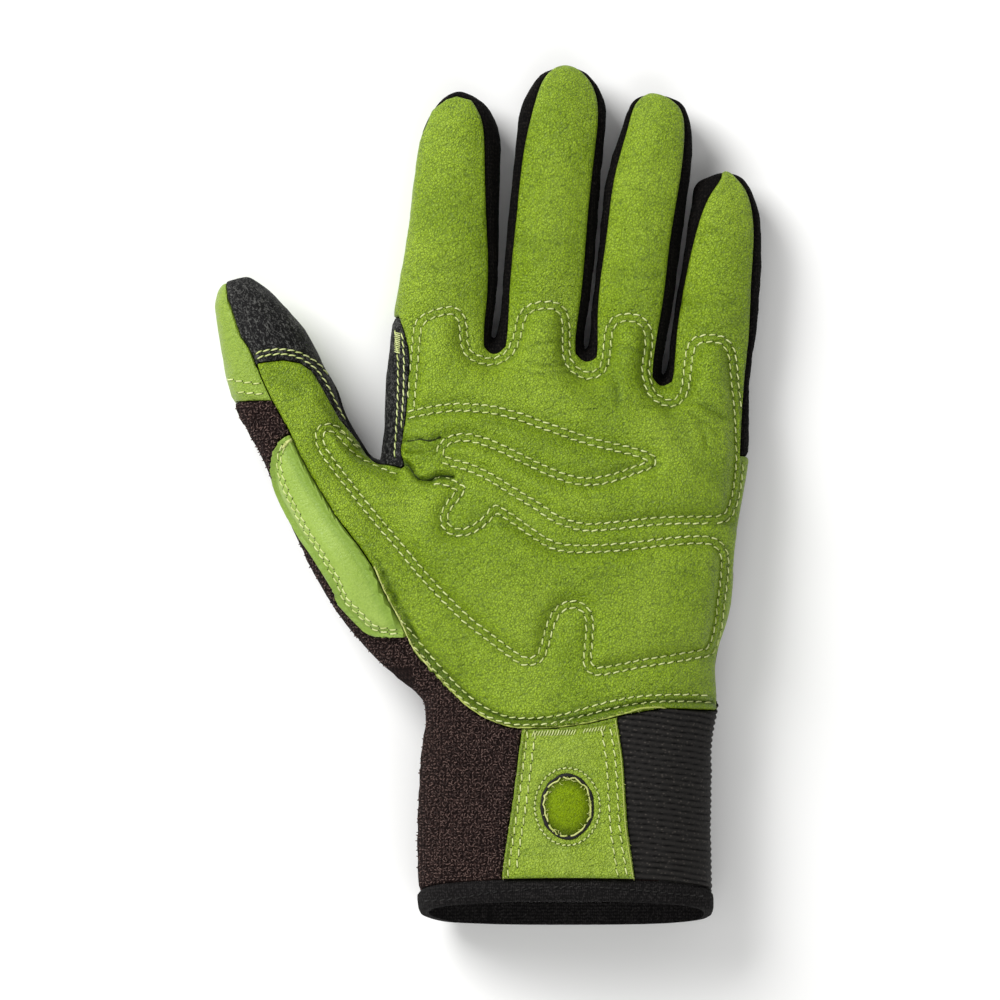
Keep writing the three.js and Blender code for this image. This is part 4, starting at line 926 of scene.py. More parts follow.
def new_piece(name, vertices, triangles, material, node, slot, sharp=50, attributes=()):
    """A mesh object in the part's frame that rides on the glove and stands for a solid."""
    mesh = bpy.data.meshes.new(name)
    vertices = np.asarray(vertices, np.float32)
    triangles = np.asarray(triangles, np.int32)
    mesh.vertices.add(len(vertices))
    mesh.vertices.foreach_set("co", vertices.ravel())
    mesh.loops.add(triangles.size)
    mesh.loops.foreach_set("vertex_index", triangles.ravel())
    mesh.polygons.add(len(triangles))
    mesh.polygons.foreach_set("loop_start", np.arange(0, triangles.size, 3, dtype=np.int32))
    mesh.update(calc_edges=True)
    mesh.validate()
    for key, values in dict(attributes).items():
        mesh.attributes.new(key, "FLOAT", "POINT").data.foreach_set("value", np.asarray(values, np.float32))
    mesh.polygons.foreach_set("use_smooth", np.ones(len(mesh.polygons), bool))
    if sharp:
        mesh.set_sharp_from_angle(angle=math.radians(sharp))
    mesh.materials.append(material)
    piece = bpy.data.objects.new(name, mesh)
    scene.collection.objects.link(piece)
    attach(piece, "root")
    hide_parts(node)
    return piece


outer_trees = {}


def refined(points, normals, triangles):
    """Each triangle split into four."""
    sides = np.concatenate([triangles[:, [0, 1]], triangles[:, [1, 2]], triangles[:, [2, 0]]])
    edges, place = np.unique(np.sort(sides, axis=1), axis=0, return_inverse=True)
    m, n, o = len(points) + place.reshape(3, -1)
    a, b, c = triangles.T
    bent = normals[edges].mean(axis=1)
    bent /= np.linalg.norm(bent, axis=1, keepdims=True)
    finer = [np.stack(corners, axis=1) for corners in ((a, m, o), (m, b, n), (n, c, o), (m, n, o))]
    return np.concatenate([points, points[edges].mean(axis=1)]), np.concatenate([normals, bent]), np.concatenate(finer)


def shell(name, level, wall, lift, material, slot, edge=0.5 * MM, relief=None, refine=0):
    """One panel as a closed wall with a rounded edge. relief gives extra height and painted shade (darkening in
    grooves, creases, hollows and on lips) at its points.
    """
    surface = surfaces[level]
    ids, triangles = np.unique(surface.triangles[surface.labels == name], return_inverse=True)
    triangles = triangles.reshape(-1, 3)
    points, normals = surface.points[ids], surface.normals[ids]
    for _ in range(refine):
        points, normals, triangles = refined(points, normals, triangles)
    count = len(points)
    border = border_sides(triangles, count)
    moved = points + seam_moves(points, normals, border)
    ends = points[border]
    to_border = nearest(np.concatenate([mix(ends[:, 0], ends[:, 1], t) for t in np.arange(4) / 4]), points)
    rounding = 1 - np.sqrt(1 - (1 - np.clip(to_border / (2 * edge), 0, 1)) ** 2) if edge else 0
    # relief also returns painted shade: how much each point is darkened
    height, painted_shade = relief(points, normals, to_border) if relief else (0, np.zeros(len(points)))
    outer = moved + normals * (lift + height - edge * rounding)[:, None]
    inner = moved + normals * (lift - wall)
    outer[:, 2] = np.maximum(outer[:, 2], 0)
    inner[:, 2] = np.maximum(inner[:, 2], 0)
    rim = np.concatenate([
        np.stack([border[:, 1], border[:, 0], border[:, 0] + count], axis=1),
        np.stack([border[:, 1], border[:, 0] + count, border[:, 1] + count], axis=1)])
    faces = np.concatenate([triangles, triangles[:, ::-1] + count, rim])
    vertices = np.concatenate([outer, inner])
    vertices[:, :2] += SHIFT
    outer_trees[name] = BVHTree.FromPolygons(vertices[:count].tolist(), triangles.tolist())
    return new_piece(name, vertices, faces, material, name, slot, attributes={"painted_shade": np.concatenate([painted_shade, painted_shade])})


# Double rows of stitches on the palm, in millimetres of the drawing. The second row lies to the right of the first.
PALM_ROWS_SEWN = {
    "knuckles": [
        (-23.3, 24.5), (-22.8, 30), (-22, 40), (-21, 49), (-18, 52), (-14, 53.5), (-10, 54), (-7.5, 52.5),
        (-6.2, 49.5), (-5.8, 44), (-4.5, 41), (-1, 39.5), (2, 39.3), (5, 40.8), (6.8, 43.5), (8, 47), (8.8, 51),
        (11, 54), (15, 55.5), (20, 55.3), (22.5, 53.5), (23.7, 50), (23.8, 44), (24, 39.5), (26, 36.5),
        (29, 35), (32, 36), (33.3, 38.5), (33.8, 43), (34.5, 48), (36.5, 51), (40, 52), (44, 51.5),
        (46.5, 49.5), (47.8, 46), (47.6, 41), (46.8, 36), (47.8, 31), (49, 28.8), (52, 27), (54.5, 27.3),
        (56.2, 30), (57, 35), (57.6, 40), (58.8, 44), (61, 45.5), (65, 46), (69, 45), (71.5, 42),
        (72.3, 38), (72.8, 32), (73.5, 25), (74, 15), (74, 8), (73, 0), (71.5, -5), (69.5, -8), (66, -9)],
    "fold": [
        (-23.5, 23.5), (-14, 25.2), (-8, 25.6), (0, 25), (5, 24), (10, 22.6), (15, 20.7), (20, 19), (26, 16.8),
        (32, 15), (38, 13.6), (43, 12.4), (47, 11), (48.7, 9.2), (47.5, 7), (43, 5.3), (38, 3.4), (32, 2),
        (27, 1.9), (22, 3), (17, 5), (10, 8.4), (3, 11.9), (-3, 14.2), (-7.5, 14.8), (-10.8, 14),
        (-12.6, 12), (-13, 9.8)],
    "middle": [
        (-12.5, 10.5), (-10, 9.3), (-5, 8), (0, 5.7), (5, 2.7), (10, -0.5), (15, -3.5), (20, -7), (25, -8.8),
        (29, -9.5), (35, -9.1), (42, -8.3), (50, -7.5), (58, -7.2), (66, -7)],
    "heel": [
        (-16, 4.2), (-12, 4), (-9, 2.7), (-6.5, 1), (-8, -2), (-10.5, -5), (-11.5, -8), (-10.5, -10.3),
        (-8, -11), (-5, -10.3), (-1, -7.5), (2, -4.2), (6, -6), (11, -9.5), (16, -13), (20, -15),
        (25, -15.7), (33, -15.6), (42, -14.8), (50, -13.8), (58, -13), (64, -13), (67.5, -14.5),
        (69.5, -18), (69.5, -24), (68.5, -32), (67.5, -40), (65, -46.5), (60, -48), (52, -49.5),
        (44, -50.8), (36, -52.5), (31, -53), (28.5, -51.5), (27.8, -49), (28.2, -44), (28.5, -38),
        (27.5, -35), (25, -33.7), (22, -34.5), (20, -37), (18.5, -41), (17.5, -45), (16, -48.5),
        (13.5, -50), (10, -50), (6, -47.5), (0, -43), (-7, -37.5), (-14, -30.5), (-20, -24), (-27, -15.5),
        (-33, -8.5), (-39, -1), (-44, 5.5), (-48, 11), (-49.5, 15), (-48.8, 18.5), (-46, 19.7),
        (-43, 18.8), (-40.5, 16), (-38, 13.3), (-34, 10.8), (-29, 8.5), (-25, 6.8)],
    "hem": [
        (-29, -33), (-25, -37), (-20, -43), (-14, -50), (-8, -56.5), (-2, -61.5), (5, -64.8), (12, -65.5),
        (20, -64.8), (27, -63), (35, -60.8), (43, -59.3), (52, -58.7), (60, -58.6), (66, -59)],
}
ROW_SPACING = 2 * MM
PATCH_ROWS = [
    [(-26.8, 48), (-26, 40), (-25.9, 30), (-26.3, 20), (-27, 9)],
    [(-24.9, 47), (-24.2, 40), (-24.3, 30), (-25, 18)],
]
COVER_ROWS = [
    [(-69.5, 38.6), (-66, 40.4), (-61, 41.2), (-56, 40.8), (-51.5, 39), (-48, 36.5), (-45.5, 33)],
    [(-69, 37.2), (-65.5, 39), (-61, 39.8), (-56.5, 39.5), (-52.5, 37.8), (-49, 35), (-46.3, 31), (-43.6, 25.5),
     (-41.2, 21)],
]
CAP_ROWS = [
    [(-76, 33.2), (-70, 31.8), (-64, 31)],
    [(-75.5, 29.6), (-70, 28.8), (-63, 28)],
]
CROTCH_SEAM = [(-43, 18), (-39.5, 15.2), (-36, 12.6), (-31, 9.8), (-25.5, 7.2)]

# Folds of the leather in millimetres: course, depth and width. The first ones also get a dark line of painted shadow.
SHADOWED_FOLDS = 2
Fold = namedtuple("Fold", "points depth width")
FOLDS = [
    Fold([(-27.5, 9.6), (-25.2, 8.3), (-23, 7.8), (-21.2, 5.2), (-19.3, 3.4), (-16.5, 3.6), (-14, 4.6), (-10, 4.4)],
         1.9, 0.8),
    Fold([(-26.2, 15.6), (-22.5, 14.8), (-19.5, 15.2), (-16.5, 14.8), (-13.5, 16)], 0.8, 0.6),
    Fold([(70, -8.5), (72, -9.3), (75, -9)], 0.5, 1.2),
    Fold([(-47.5, 26), (-44, 21.5), (-42, 18)], 0.5, 1.6),
    Fold([(-62, 33), (-58, 31.5), (-54, 29)], 0.35, 1.8),
    Fold([(36, 64), (42, 62.6), (50, 63.5)], 0.35, 1.4),
    Fold([(57, 55.5), (64, 54.4), (72, 55.6)], 0.35, 1.3),
    Fold([(58, 48.6), (65, 47.7), (73, 49)], 0.3, 1.2),
    Fold([(54, 33), (60, 29), (67, 22)], 0.4, 2.2),
    Fold([(-18, 66), (-12, 65), (-5, 66.5)], 0.3, 1.8),
    Fold([(9, 73), (16, 71.8), (26, 73)], 0.3, 1.8),
    Fold([(0, 20), (14, 15.5), (30, 10)], 0.25, 2.2),
    Fold([(52, 24), (58, 12), (66, 4)], 0.35, 3),
    Fold([(20, 33), (32, 27), (44, 25)], 0.25, 3),
    Fold([(11, 41.2), (16, 43.2), (21.5, 44.2)], 0.6, 0.55),
    Fold([(13, 37), (18, 36), (23.5, 37.4)], 0.45, 0.6),
    Fold([(14, 33.5), (19, 33.8), (24, 34.6)], 0.35, 0.7),
    Fold([(36.6, 33.5), (37.8, 29), (37.6, 24.5)], 0.45, 0.9),
    Fold([(40, 42), (44, 40.8), (47, 41.2)], 0.4, 0.7),
    Fold([(58.6, 25.8), (64, 24), (69.5, 20.8)], 0.4, 0.6),
    Fold([(58, 22.8), (62, 20), (66, 16)], 0.4, 0.7),
    Fold([(60.8, 19.5), (62.3, 16), (62.6, 12.5)], 0.4, 0.8),
    Fold([(-33.5, -19.8), (-28, -21), (-22.5, -24.6)], 0.25, 0.6),
    Fold([(-33.2, -22.6), (-28.5, -24.4), (-25, -27.6)], 0.2, 0.6),
    Fold([(-32.5, -26), (-29, -28.2), (-26, -31)], 0.2, 0.6),
]


# Steps of the paths along stitch rows, folds and edges
CURVE_STEPS = 6
PATH_STEP = 0.7 * MM
FINE_STEP = 0.4 * MM
INNER_PAD_CORNER = (-23.5, 12)


def mm(points):
    return np.array(points, float) * MM


def offset(path, distance):
    """The path moved to its left by a distance."""
    along = np.gradient(path, axis=0)
    along /= np.linalg.norm(along, axis=1, keepdims=True)
    return path + distance * np.stack([-along[:, 1], along[:, 0]], axis=1)


def even_steps(path, step):
    """Points a step apart along a path."""
    lengths = np.concatenate([[0], np.cumsum(np.linalg.norm(np.diff(path, axis=0), axis=1))])
    count = max(int(lengths[-1] / step), 1)
    at = np.linspace(0, lengths[-1], count + 1)
    return np.stack([np.interp(at, lengths, path[:, axis]) for axis in range(path.shape[1])], axis=1)


def softened(path, rounds=2):
    for _ in range(rounds):
        path = np.concatenate([path[:1], (path[:-2] + 2 * path[1:-1] + path[2:]) / 4, path[-1:]])
    return path


def smooth_path(points, step=PATH_STEP):
    return even_steps(curved(mm(points), False, CURVE_STEPS), step)


def double_row(points):
    first = smooth_path(points)
    return first, softened(even_steps(offset(first, -ROW_SPACING), PATH_STEP), 3)


palm_rows = [path for row in PALM_ROWS_SEWN.values() for path in double_row(row)]
sewn_points = np.concatenate([even_steps(path, FINE_STEP) for path in palm_rows])
fold_paths = [(smooth_path(fold.points, FINE_STEP), fold.depth * MM, fold.width * MM) for fold in FOLDS]
heel_pad = inside_outline(mm(PALM_ROWS_SEWN["heel"]))
upper_pads = inside_outline(mm(
    PALM_ROWS_SEWN["knuckles"][:-1] + PALM_ROWS_SEWN["middle"][::-1] + [INNER_PAD_CORNER]))

GROOVE_DEPTH = 0.5 * MM
GROOVE_WIDTH = 0.8 * MM
# Painted shade: how dark the grooves under the stitch rows are painted, and how dark the folds get
PAINTED_GROOVE_SHADE = 0.35
PUFF_WIDTH = 2.6 * MM
PUFF_POWER = 1.7
PAD_PUFF = 2.0 * MM
PLAIN_PUFF = 0.5 * MM
PAD_BLEND = 0.3 * MM
FOLD_SWELL = 0.4
PAINTED_FOLD_SHADE = 0.8
FULL_SHADE_FOLD_DEPTH = 1.2 * MM
HEM_START, HEM_FULL = -17 * MM, -24 * MM
LIP_WIDTH = 2.0 * MM
LIP_HEIGHT = 1.1 * MM
HOLLOW_DEPTH = 0.6 * MM
HOLLOW_WIDTH = 0.6 * MM
HOLLOW_DISTANCE = 0.5 * MM
EDGE_BLEND = 1.5 * MM


def lumps(points, size, seed, detail=3):
    """Smooth random height from -1 to 1 at points, with lumps of a size."""
    shift = Vector((seed * 3.7, seed * 1.3, seed * 2.1))
    return np.array([noise.fractal(Vector(p) / size + shift, 1.0, 2.0, detail) for p in points.tolist()])


def bump_at(distance, width):
    """Soft bump of height 1 where a distance is 0."""
    return np.exp(-(distance / width) ** 2)


def rolled(to_border, width):
    """Half round of height 1 along a border."""
    return np.sqrt(np.clip(1 - ((to_border - width / 2) / (width / 2)) ** 2, 0, 1))


def palm_relief(points, normals, to_border):
    """Padding between the stitches, the grooves under them, folds and the rolled hem, with painted shade in the
    grooves, the folds, the hollow beside the hem and on the lip.
    """
    flat = points[:, :2]
    facing = smooth(0.05, 0.5, normals[:, 2])
    to_row = nearest(sewn_points, flat)
    padded = np.maximum(*(smooth(-PAD_BLEND, PAD_BLEND, pad(points)) for pad in (heel_pad, upper_pads)))
    puff = mix(PLAIN_PUFF, PAD_PUFF, padded) * (1 - np.exp(-(to_row / PUFF_WIDTH) ** PUFF_POWER))
    groove = bump_at(to_row, GROOVE_WIDTH)
    height = puff - GROOVE_DEPTH * groove
    # painted shade in the grooves under the stitch rows
    painted_shade = PAINTED_GROOVE_SHADE * groove
    for path, depth, width in fold_paths:
        away = nearest(path, flat)
        dent = bump_at(away, width)
        swell = bump_at(away - 2.4 * width, 1.3 * width)
        height += depth * (FOLD_SWELL * swell - dent)
        # painted shade along the fold's dent, stronger for deeper folds
        painted_shade += PAINTED_FOLD_SHADE * dent * min(1, depth / FULL_SHADE_FOLD_DEPTH)
    below = smooth(HEM_START, HEM_FULL, points[:, 1])
    lip = rolled(to_border, LIP_WIDTH) * below
    hollow = bump_at(to_border - LIP_WIDTH - HOLLOW_DISTANCE, HOLLOW_WIDTH) * below
    # painted shade in the hollow beside the hem and a little on the rolled lip
    painted_shade += 0.8 * hollow + 0.3 * lip
    height = height * (1 - below * smooth(1.3 * LIP_WIDTH, LIP_WIDTH, to_border))
    height = height + LIP_HEIGHT * lip - HOLLOW_DEPTH * hollow
    waves = 0.32 * MM * lumps(points * (1, 0.6, 1), 11 * MM, 1)
    waves = waves + 0.14 * MM * lumps(points * (0.6, 1, 1), 3.2 * MM, 2)
    at_edge = smooth(0, EDGE_BLEND, to_border)
    height = facing * height * np.maximum(at_edge, below) + waves * at_edge
    return height, np.clip(painted_shade * facing, 0, 1)


GUARD_LIP = 1.5 * MM
GUARD_LIP_HEIGHT = 0.7 * MM
GUARD_ROWS = (1.7 * MM, 2.8 * MM)
GUARD_GROOVE_DEPTH = 0.35 * MM
GUARD_GROOVE_WIDTH = 0.6 * MM
GUARD_PUFF = 1.1 * MM
GUARD_PUFF_END = 8 * MM


def guard_relief(points, normals, to_border):
    """A rolled lip round the pad, two rows of stitches inside it, and the puffed middle, with painted shade darkening
    the stitch grooves and the lip.
    """
    lip = rolled(to_border, GUARD_LIP)
    groove = sum(bump_at(to_border - at, GUARD_GROOVE_WIDTH) for at in GUARD_ROWS)
    puff = smooth(GUARD_ROWS[1], GUARD_PUFF_END, to_border)
    height = GUARD_LIP_HEIGHT * lip + GUARD_PUFF * puff - GUARD_GROOVE_DEPTH * groove
    # painted shade: darker in the stitch grooves and on the rolled lip
    return height, 0.45 * groove + 0.4 * lip


TAB_LIP = 1.2 * MM
TAB_LIP_HEIGHT = 0.6 * MM
TAB_GROOVE = 2 * MM
TAB_GROOVE_DEPTH = 0.25 * MM
TAB_GROOVE_WIDTH = 0.7 * MM
HOLE_SINK = 0.5 * MM
HOLE_SINK_WIDTH = 1.2 * MM
tab_end = min(y for _, y in on_cuff(TAB_OUTLINE))


def hole_distance(points):
    """How many times the hole's radius away a point is."""
    return np.hypot((points[:, 0] - HOLE_X) / (HOLE_WIDTH / 2), (points[:, 1] - HOLE_Y) / (HOLE_HEIGHT / 2))


def tab_relief(points, normals, to_border):
    """A lip up the sides, the groove of the stitches round the hole, waves, and a sunken edge at the hole, with
    painted shade darkening the groove and the lip.
    """
    around_hole = (hole_distance(points) - 1) * HOLE_WIDTH / 2
    lip = rolled(to_border, TAB_LIP)
    lip *= smooth(3 * MM, 5 * MM, around_hole) * smooth(1 * MM, 2.5 * MM, points[:, 1] - tab_end)
    groove = bump_at(around_hole - TAB_GROOVE, TAB_GROOVE_WIDTH)
    waves = 0.3 * MM * lumps(points, 6 * MM, 5) + 0.15 * MM * lumps(points, 2.5 * MM, 6)
    height = TAB_LIP_HEIGHT * lip - TAB_GROOVE_DEPTH * groove + waves * smooth(0, MM, to_border)
    height = height - HOLE_SINK * bump_at(around_hole, HOLE_SINK_WIDTH)
    # painted shade: darker in the stitch groove and on the lip
    return height, 0.35 * groove + 0.5 * lip


INSET_DOME = 2.2 * MM
INSET_SINK = 0.4 * MM


def inset_relief(points, normals, to_border):
    """Leather pressed up through the hole, with painted shade darkening it towards its edge under the tab."""
    out = hole_distance(points)
    return INSET_DOME * np.sqrt(np.clip(1 - out ** 2, 0, 1)) - INSET_SINK, 0.9 * smooth(0.5, 1, out)


RIB_PITCH = 1.75 * MM
RIB_HEIGHT = 0.6 * MM
RIB_FALL = 0.11
RIB_BOW = 2.2 * MM


def elastic_relief(points, normals, to_border):
    """Ribs across the cuff that fall and bow a little towards the side, and painted shade in the furrows between them.
    """
    out = (points[:, 0] - HOLE_X) / (CUFF_WIDTH / 2)
    fall = RIB_FALL * (points[:, 0] - HOLE_X) + RIB_BOW * np.maximum(out - 0.5, 0) ** 2
    wander = 0.25 * MM * lumps(points, 9 * MM, 8, 2)
    rib = np.abs(np.cos((points[:, 1] + fall + wander) / RIB_PITCH * math.pi)) ** 0.8
    # painted shade: darkest in the furrows between the ribs
    return RIB_HEIGHT * rib + wander, (1 - rib) ** 0.8


def soft_relief(size, height, seed):
    """Gentle lumps of worn fabric."""
    def relief(points, normals, to_border):
        return height * lumps(points, size, seed) * smooth(0, 2 * MM, to_border), np.zeros(len(points))

    return relief


# The fabric and leather pieces: level of the surface, wall, lift, material and slot
shell("palm_leather", 4, 1.6 * MM, 0, green_leather, "green_leather", relief=palm_relief)
for name in FOURCHETTES:
    shell(name, 3, 1.2 * MM, -0.2 * MM, black_stretch, "black_stretch", relief=soft_relief(5 * MM, 0.25 * MM, 11))
shell("little_side_wall", 3, 1.2 * MM, 0, black_stretch, "black_stretch", relief=soft_relief(6 * MM, 0.3 * MM, 12))
shell("finger_backs", 3, 1.2 * MM, 0, black_stretch, "black_stretch", relief=soft_relief(7 * MM, 0.3 * MM, 13))
shell("terry_back", 3, 1.8 * MM, 0, brown_terry, "brown_terry", relief=soft_relief(4 * MM, 0.35 * MM, 14))
shell("thumb_tip_cover", 3, 1.4 * MM, 0.1 * MM, grip_fabric, "grip_fabric", relief=soft_relief(6 * MM, 0.3 * MM, 15))
shell("thumb_back_cap", 3, 1.6 * MM, 0, cap_leather, "light_leather", relief=soft_relief(9 * MM, 0.35 * MM, 16))
shell(
    "thumb_guard", 4, 3 * MM, 0.9 * MM, light_leather, "light_leather", edge=0.9 * MM, relief=guard_relief)
shell("index_side_patch", 3, 1.4 * MM, 0.1 * MM, grip_fabric, "grip_fabric", relief=soft_relief(6 * MM, 0.25 * MM, 17))
shell("cuff_tab", 4, 2.2 * MM, 0.9 * MM, tab_leather_painted_light, "green_leather", relief=tab_relief, refine=1)
shell("tab_inset", 4, 1.2 * MM, 0.2 * MM, inset_leather, "inset_leather", edge=0, relief=inset_relief, refine=1)
shell("cuff_elastic", 4, 1.6 * MM, 0, ribbed_elastic, "ribbed_elastic", relief=elastic_relief, refine=1)
shell("cuff_binding", 3, 2.6 * MM, 0.6 * MM, binding, "binding", edge=0.9 * MM, relief=soft_relief(5 * MM, 0.3 * MM, 18))


# Thread
ABOVE = 0.08
DOWN = Vector((0, 0, -1))


def on_surface(tree, path):
    """Points and normals of a piece's outer face under a path of the drawing."""
    hits = [tree.ray_cast(Vector((x + SHIFT[0], y + SHIFT[1], ABOVE)), DOWN) for x, y in path]
    return [hit[0] for hit in hits], [hit[1] for hit in hits]


class Threads:
    """Collects short tubes and lays them out as one mesh."""

    def __init__(self):
        self.vertices, self.triangles, self.tones = [], [], []

    def tube(self, centres, ups, radii, sides=6, tone=0.5):
        """A tube along centres; ups give each ring's outward side."""
        first = len(self.vertices)
        count = len(centres)
        for k, (centre, up) in enumerate(zip(centres, ups)):
            along = (centres[min(k + 1, count - 1)] - centres[max(k - 1, 0)]).normalized()
            across = along.cross(up).normalized()
            upright = across.cross(along)
            for j in range(sides):
                angle = 2 * math.pi * j / sides
                self.vertices.append(centre + radii[k] * (math.cos(angle) * across + math.sin(angle) * upright))
        for k in range(count - 1):
            for j in range(sides):
                a, b = first + k * sides + j, first + k * sides + (j + 1) % sides
                self.triangles += [(a, b, b + sides), (a, b + sides, a + sides)]
        last = first + (count - 1) * sides
        for j in range(1, sides - 1):
            self.triangles += [(first, first + j + 1, first + j), (last, last + j, last + j + 1)]
        self.tones += [tone] * (count * sides)

    # A small dark disc over a shallow cone: painted shade in a needle hole
    def disc(self, centre, up, radius, sides=7):
        first = len(self.vertices)
        across = up.orthogonal().normalized()
        beside = up.cross(across)
        top = centre + 0.04 * MM * up
        self.vertices.append(top + 0.02 * MM * up)
        for j in range(sides):
            angle = 2 * math.pi * j / sides
            self.vertices.append(top + radius * (math.cos(angle) * across + math.sin(angle) * beside))
        self.vertices.append(centre - 0.2 * MM * up)
        bottom = first + sides + 1
        for j in range(sides):
            a, b = first + 1 + j, first + 1 + (j + 1) % sides
            self.triangles += [(first, a, b), (bottom, b, a)]
        self.tones += [0.5] * (sides + 2)

    def piece(self, name, material, node, slot):
        return new_piece(name, self.vertices, self.triangles, material, node, slot, sharp=0,
                         attributes={"tone": self.tones})


STITCH_PITCH = 2.67 * MM
STITCH_LENGTH = 2.1 * MM
DENSE_PITCH = 2.35 * MM
THREAD_RADIUS = 0.21 * MM
STITCH_SLANT = 0.2 * MM
NEEDLE_RADIUS = 0.27 * MM
STITCH_STEPS = 5
STITCH_RISE = [-0.12 * MM, 0.12 * MM, 0.17 * MM, 0.12 * MM, -0.12 * MM]
STITCH_SWELL = [0.6, 1, 1.05, 1, 0.6]


def sew(threads, holes, tree, path, pitch=STITCH_PITCH, length=STITCH_LENGTH, radius=THREAD_RADIUS):
    """Lays slanted stitches along a path, with a dark disc of painted shade in the needle hole at each end."""
    spaced = even_steps(path, pitch / 12)
    lengths = np.concatenate([[0], np.cumsum(np.linalg.norm(np.diff(spaced, axis=0), axis=1))])
    sideways = offset(spaced, 1.0) - spaced
    for k in range(int(lengths[-1] / pitch)):
        start = (k + 0.15 + random.uniform(-0.04, 0.04)) * pitch
        slant = STITCH_SLANT * random.uniform(0.6, 1.3)
        at = start + length * np.linspace(0, 1, STITCH_STEPS)
        points = np.stack([np.interp(at, lengths, spaced[:, axis]) for axis in (0, 1)], axis=1)
        aside = np.stack([np.interp(at, lengths, sideways[:, axis]) for axis in (0, 1)], axis=1)
        points += aside * (slant * np.linspace(-1, 1, STITCH_STEPS))[:, None]
        centres, ups = on_surface(tree, points)
        if any(centre is None for centre in centres):
            continue
        lifted = [centre + up * height for centre, up, height in zip(centres, ups, STITCH_RISE)]
        radii = [radius * share for share in STITCH_SWELL]
        threads.tube(lifted, ups, radii, tone=random.uniform(0.2, 0.9))
        if holes is not None:
            for end in (0, -1):
                holes.disc(centres[end], ups[end], NEEDLE_RADIUS)


def fray(threads, tree, path, spread, length, per_mm, radius=0.07 * MM):
    """Short loose fibres along a raw edge."""
    spaced = even_steps(path, 1 * MM / per_mm)
    for x, y in spaced:
        angle = random.uniform(0, 2 * math.pi)
        reach = length * random.uniform(0.5, 1.2)
        x, y = x + random.uniform(-spread, spread), y + random.uniform(-spread, spread)
        bend = random.uniform(-0.7, 0.7)
        course = [(x, y), (x + 0.5 * reach * math.cos(angle), y + 0.5 * reach * math.sin(angle)),
                  (x + reach * math.cos(angle + bend), y + reach * math.sin(angle + bend))]
        centres, ups = on_surface(tree, course)
        if any(centre is None for centre in centres):
            continue
        rise = [0, random.uniform(0.1, 0.5) * MM, random.uniform(0, 0.5) * MM]
        threads.tube([c + u * h for c, u, h in zip(centres, ups, rise)], ups, [radius] * 3, sides=3,
                     tone=random.uniform(0, 1))


def sewn(name, node, slot, paths, **sizes):
    """Stitches along paths on a piece, and dark discs of painted shade in their needle holes."""
    threads, holes = Threads(), Threads()
    for path in paths:
        sew(threads, holes, outer_trees[node], path, **sizes)
    threads.piece(name + "_stitches", cream_thread, node, slot)
    holes.piece(name + "_hole_shade_discs", painted_hole_shade, node, slot)


def along_outline(outline, first, last):
    """Part of an outline as a smooth path, between two of its corners."""
    course = curved(outline, True, CURVE_STEPS)[first * CURVE_STEPS:last * CURVE_STEPS + 1]
    return even_steps(course, PATH_STEP)


def inward(path, distance, outline):
    """The path moved by a distance to the side that lies inside an outline."""
    moved = softened(offset(path, distance), 2)
    inside = inside_outline(outline)
    return moved if inside(moved).mean() > inside(path).mean() else softened(offset(path, -distance), 2)


sewn("palm", "palm_leather", "green_leather", palm_rows)
sewn("crotch", "palm_leather", "green_leather", [smooth_path(CROTCH_SEAM)])
sewn("cover", "thumb_tip_cover", "grip_fabric", map(smooth_path, COVER_ROWS), pitch=DENSE_PITCH)
sewn("cap", "thumb_back_cap", "light_leather", map(smooth_path, CAP_ROWS))
sewn("patch", "index_side_patch", "grip_fabric", map(smooth_path, PATCH_ROWS), pitch=DENSE_PITCH)

guard_outline = on_palm(GUARD_OUTLINE)
guard_edge = along_outline(guard_outline, 0, 14)
sewn("guard", "thumb_guard", "light_leather", [inward(guard_edge, at, guard_outline) for at in GUARD_ROWS])

# Tab: two rows up each side, a ring of short stitches round the hole and a bar of thread at the top
TAB_STITCH_PITCH = 3.1 * MM
TAB_ROWS = {"left": [1.7 * MM, 3.9 * MM], "right": [2.2 * MM, 4.8 * MM]}
tab_outline = on_cuff(TAB_OUTLINE)
tab_left, tab_right = along_outline(tab_outline, 0, 5), along_outline(tab_outline, 7, 12)
tab_paths = [inward(tab_left, at, tab_outline) for at in TAB_ROWS["left"]]
tab_paths += [inward(tab_right, at, tab_outline) for at in TAB_ROWS["right"]]


def hole_path(out, low=0, high=360, steps=90):
    """Part of an ellipse round the hole, out metres outside its edge."""
    angles = np.radians(np.linspace(low, high, steps))
    radii = HOLE_WIDTH / 2 + out, HOLE_HEIGHT / 2 + out
    return HOLE_MIDDLE + np.stack([radii[0] * np.cos(angles), radii[1] * np.sin(angles)], axis=1)


sewn("tab", "cuff_tab", "green_leather", tab_paths, pitch=TAB_STITCH_PITCH, length=2.2 * MM)
sewn("hole", "cuff_tab", "green_leather", [hole_path(2.1 * MM)],
     pitch=1.6 * MM, length=1.15 * MM, radius=0.2 * MM)


def zigzag(threads, tree, start, end, width, pitch, radius=THREAD_RADIUS):
    """A bar of close slanted stitches between two points."""
    start, end = mm(start), mm(end)
    along = (end - start) / np.linalg.norm(end - start)
    across = np.array([-along[1], along[0]])
    count = int(np.linalg.norm(end - start) / pitch)
    for k in range(count):
        middle = mix(start, end, (k + 0.5) / count)
        reach = width / 2 * random.uniform(0.8, 1.1)
        course = [middle - across * reach - along * pitch / 2, middle, middle + across * reach + along * pitch / 2]
        centres, ups = on_surface(tree, course)
        if all(centre is not None for centre in centres):
            lifted = [c + u * h for c, u, h in zip(centres, ups, (0, 0.3 * MM, 0))]
            threads.tube(lifted, ups, [radius * 0.8] * 3, tone=random.uniform(0.3, 1))


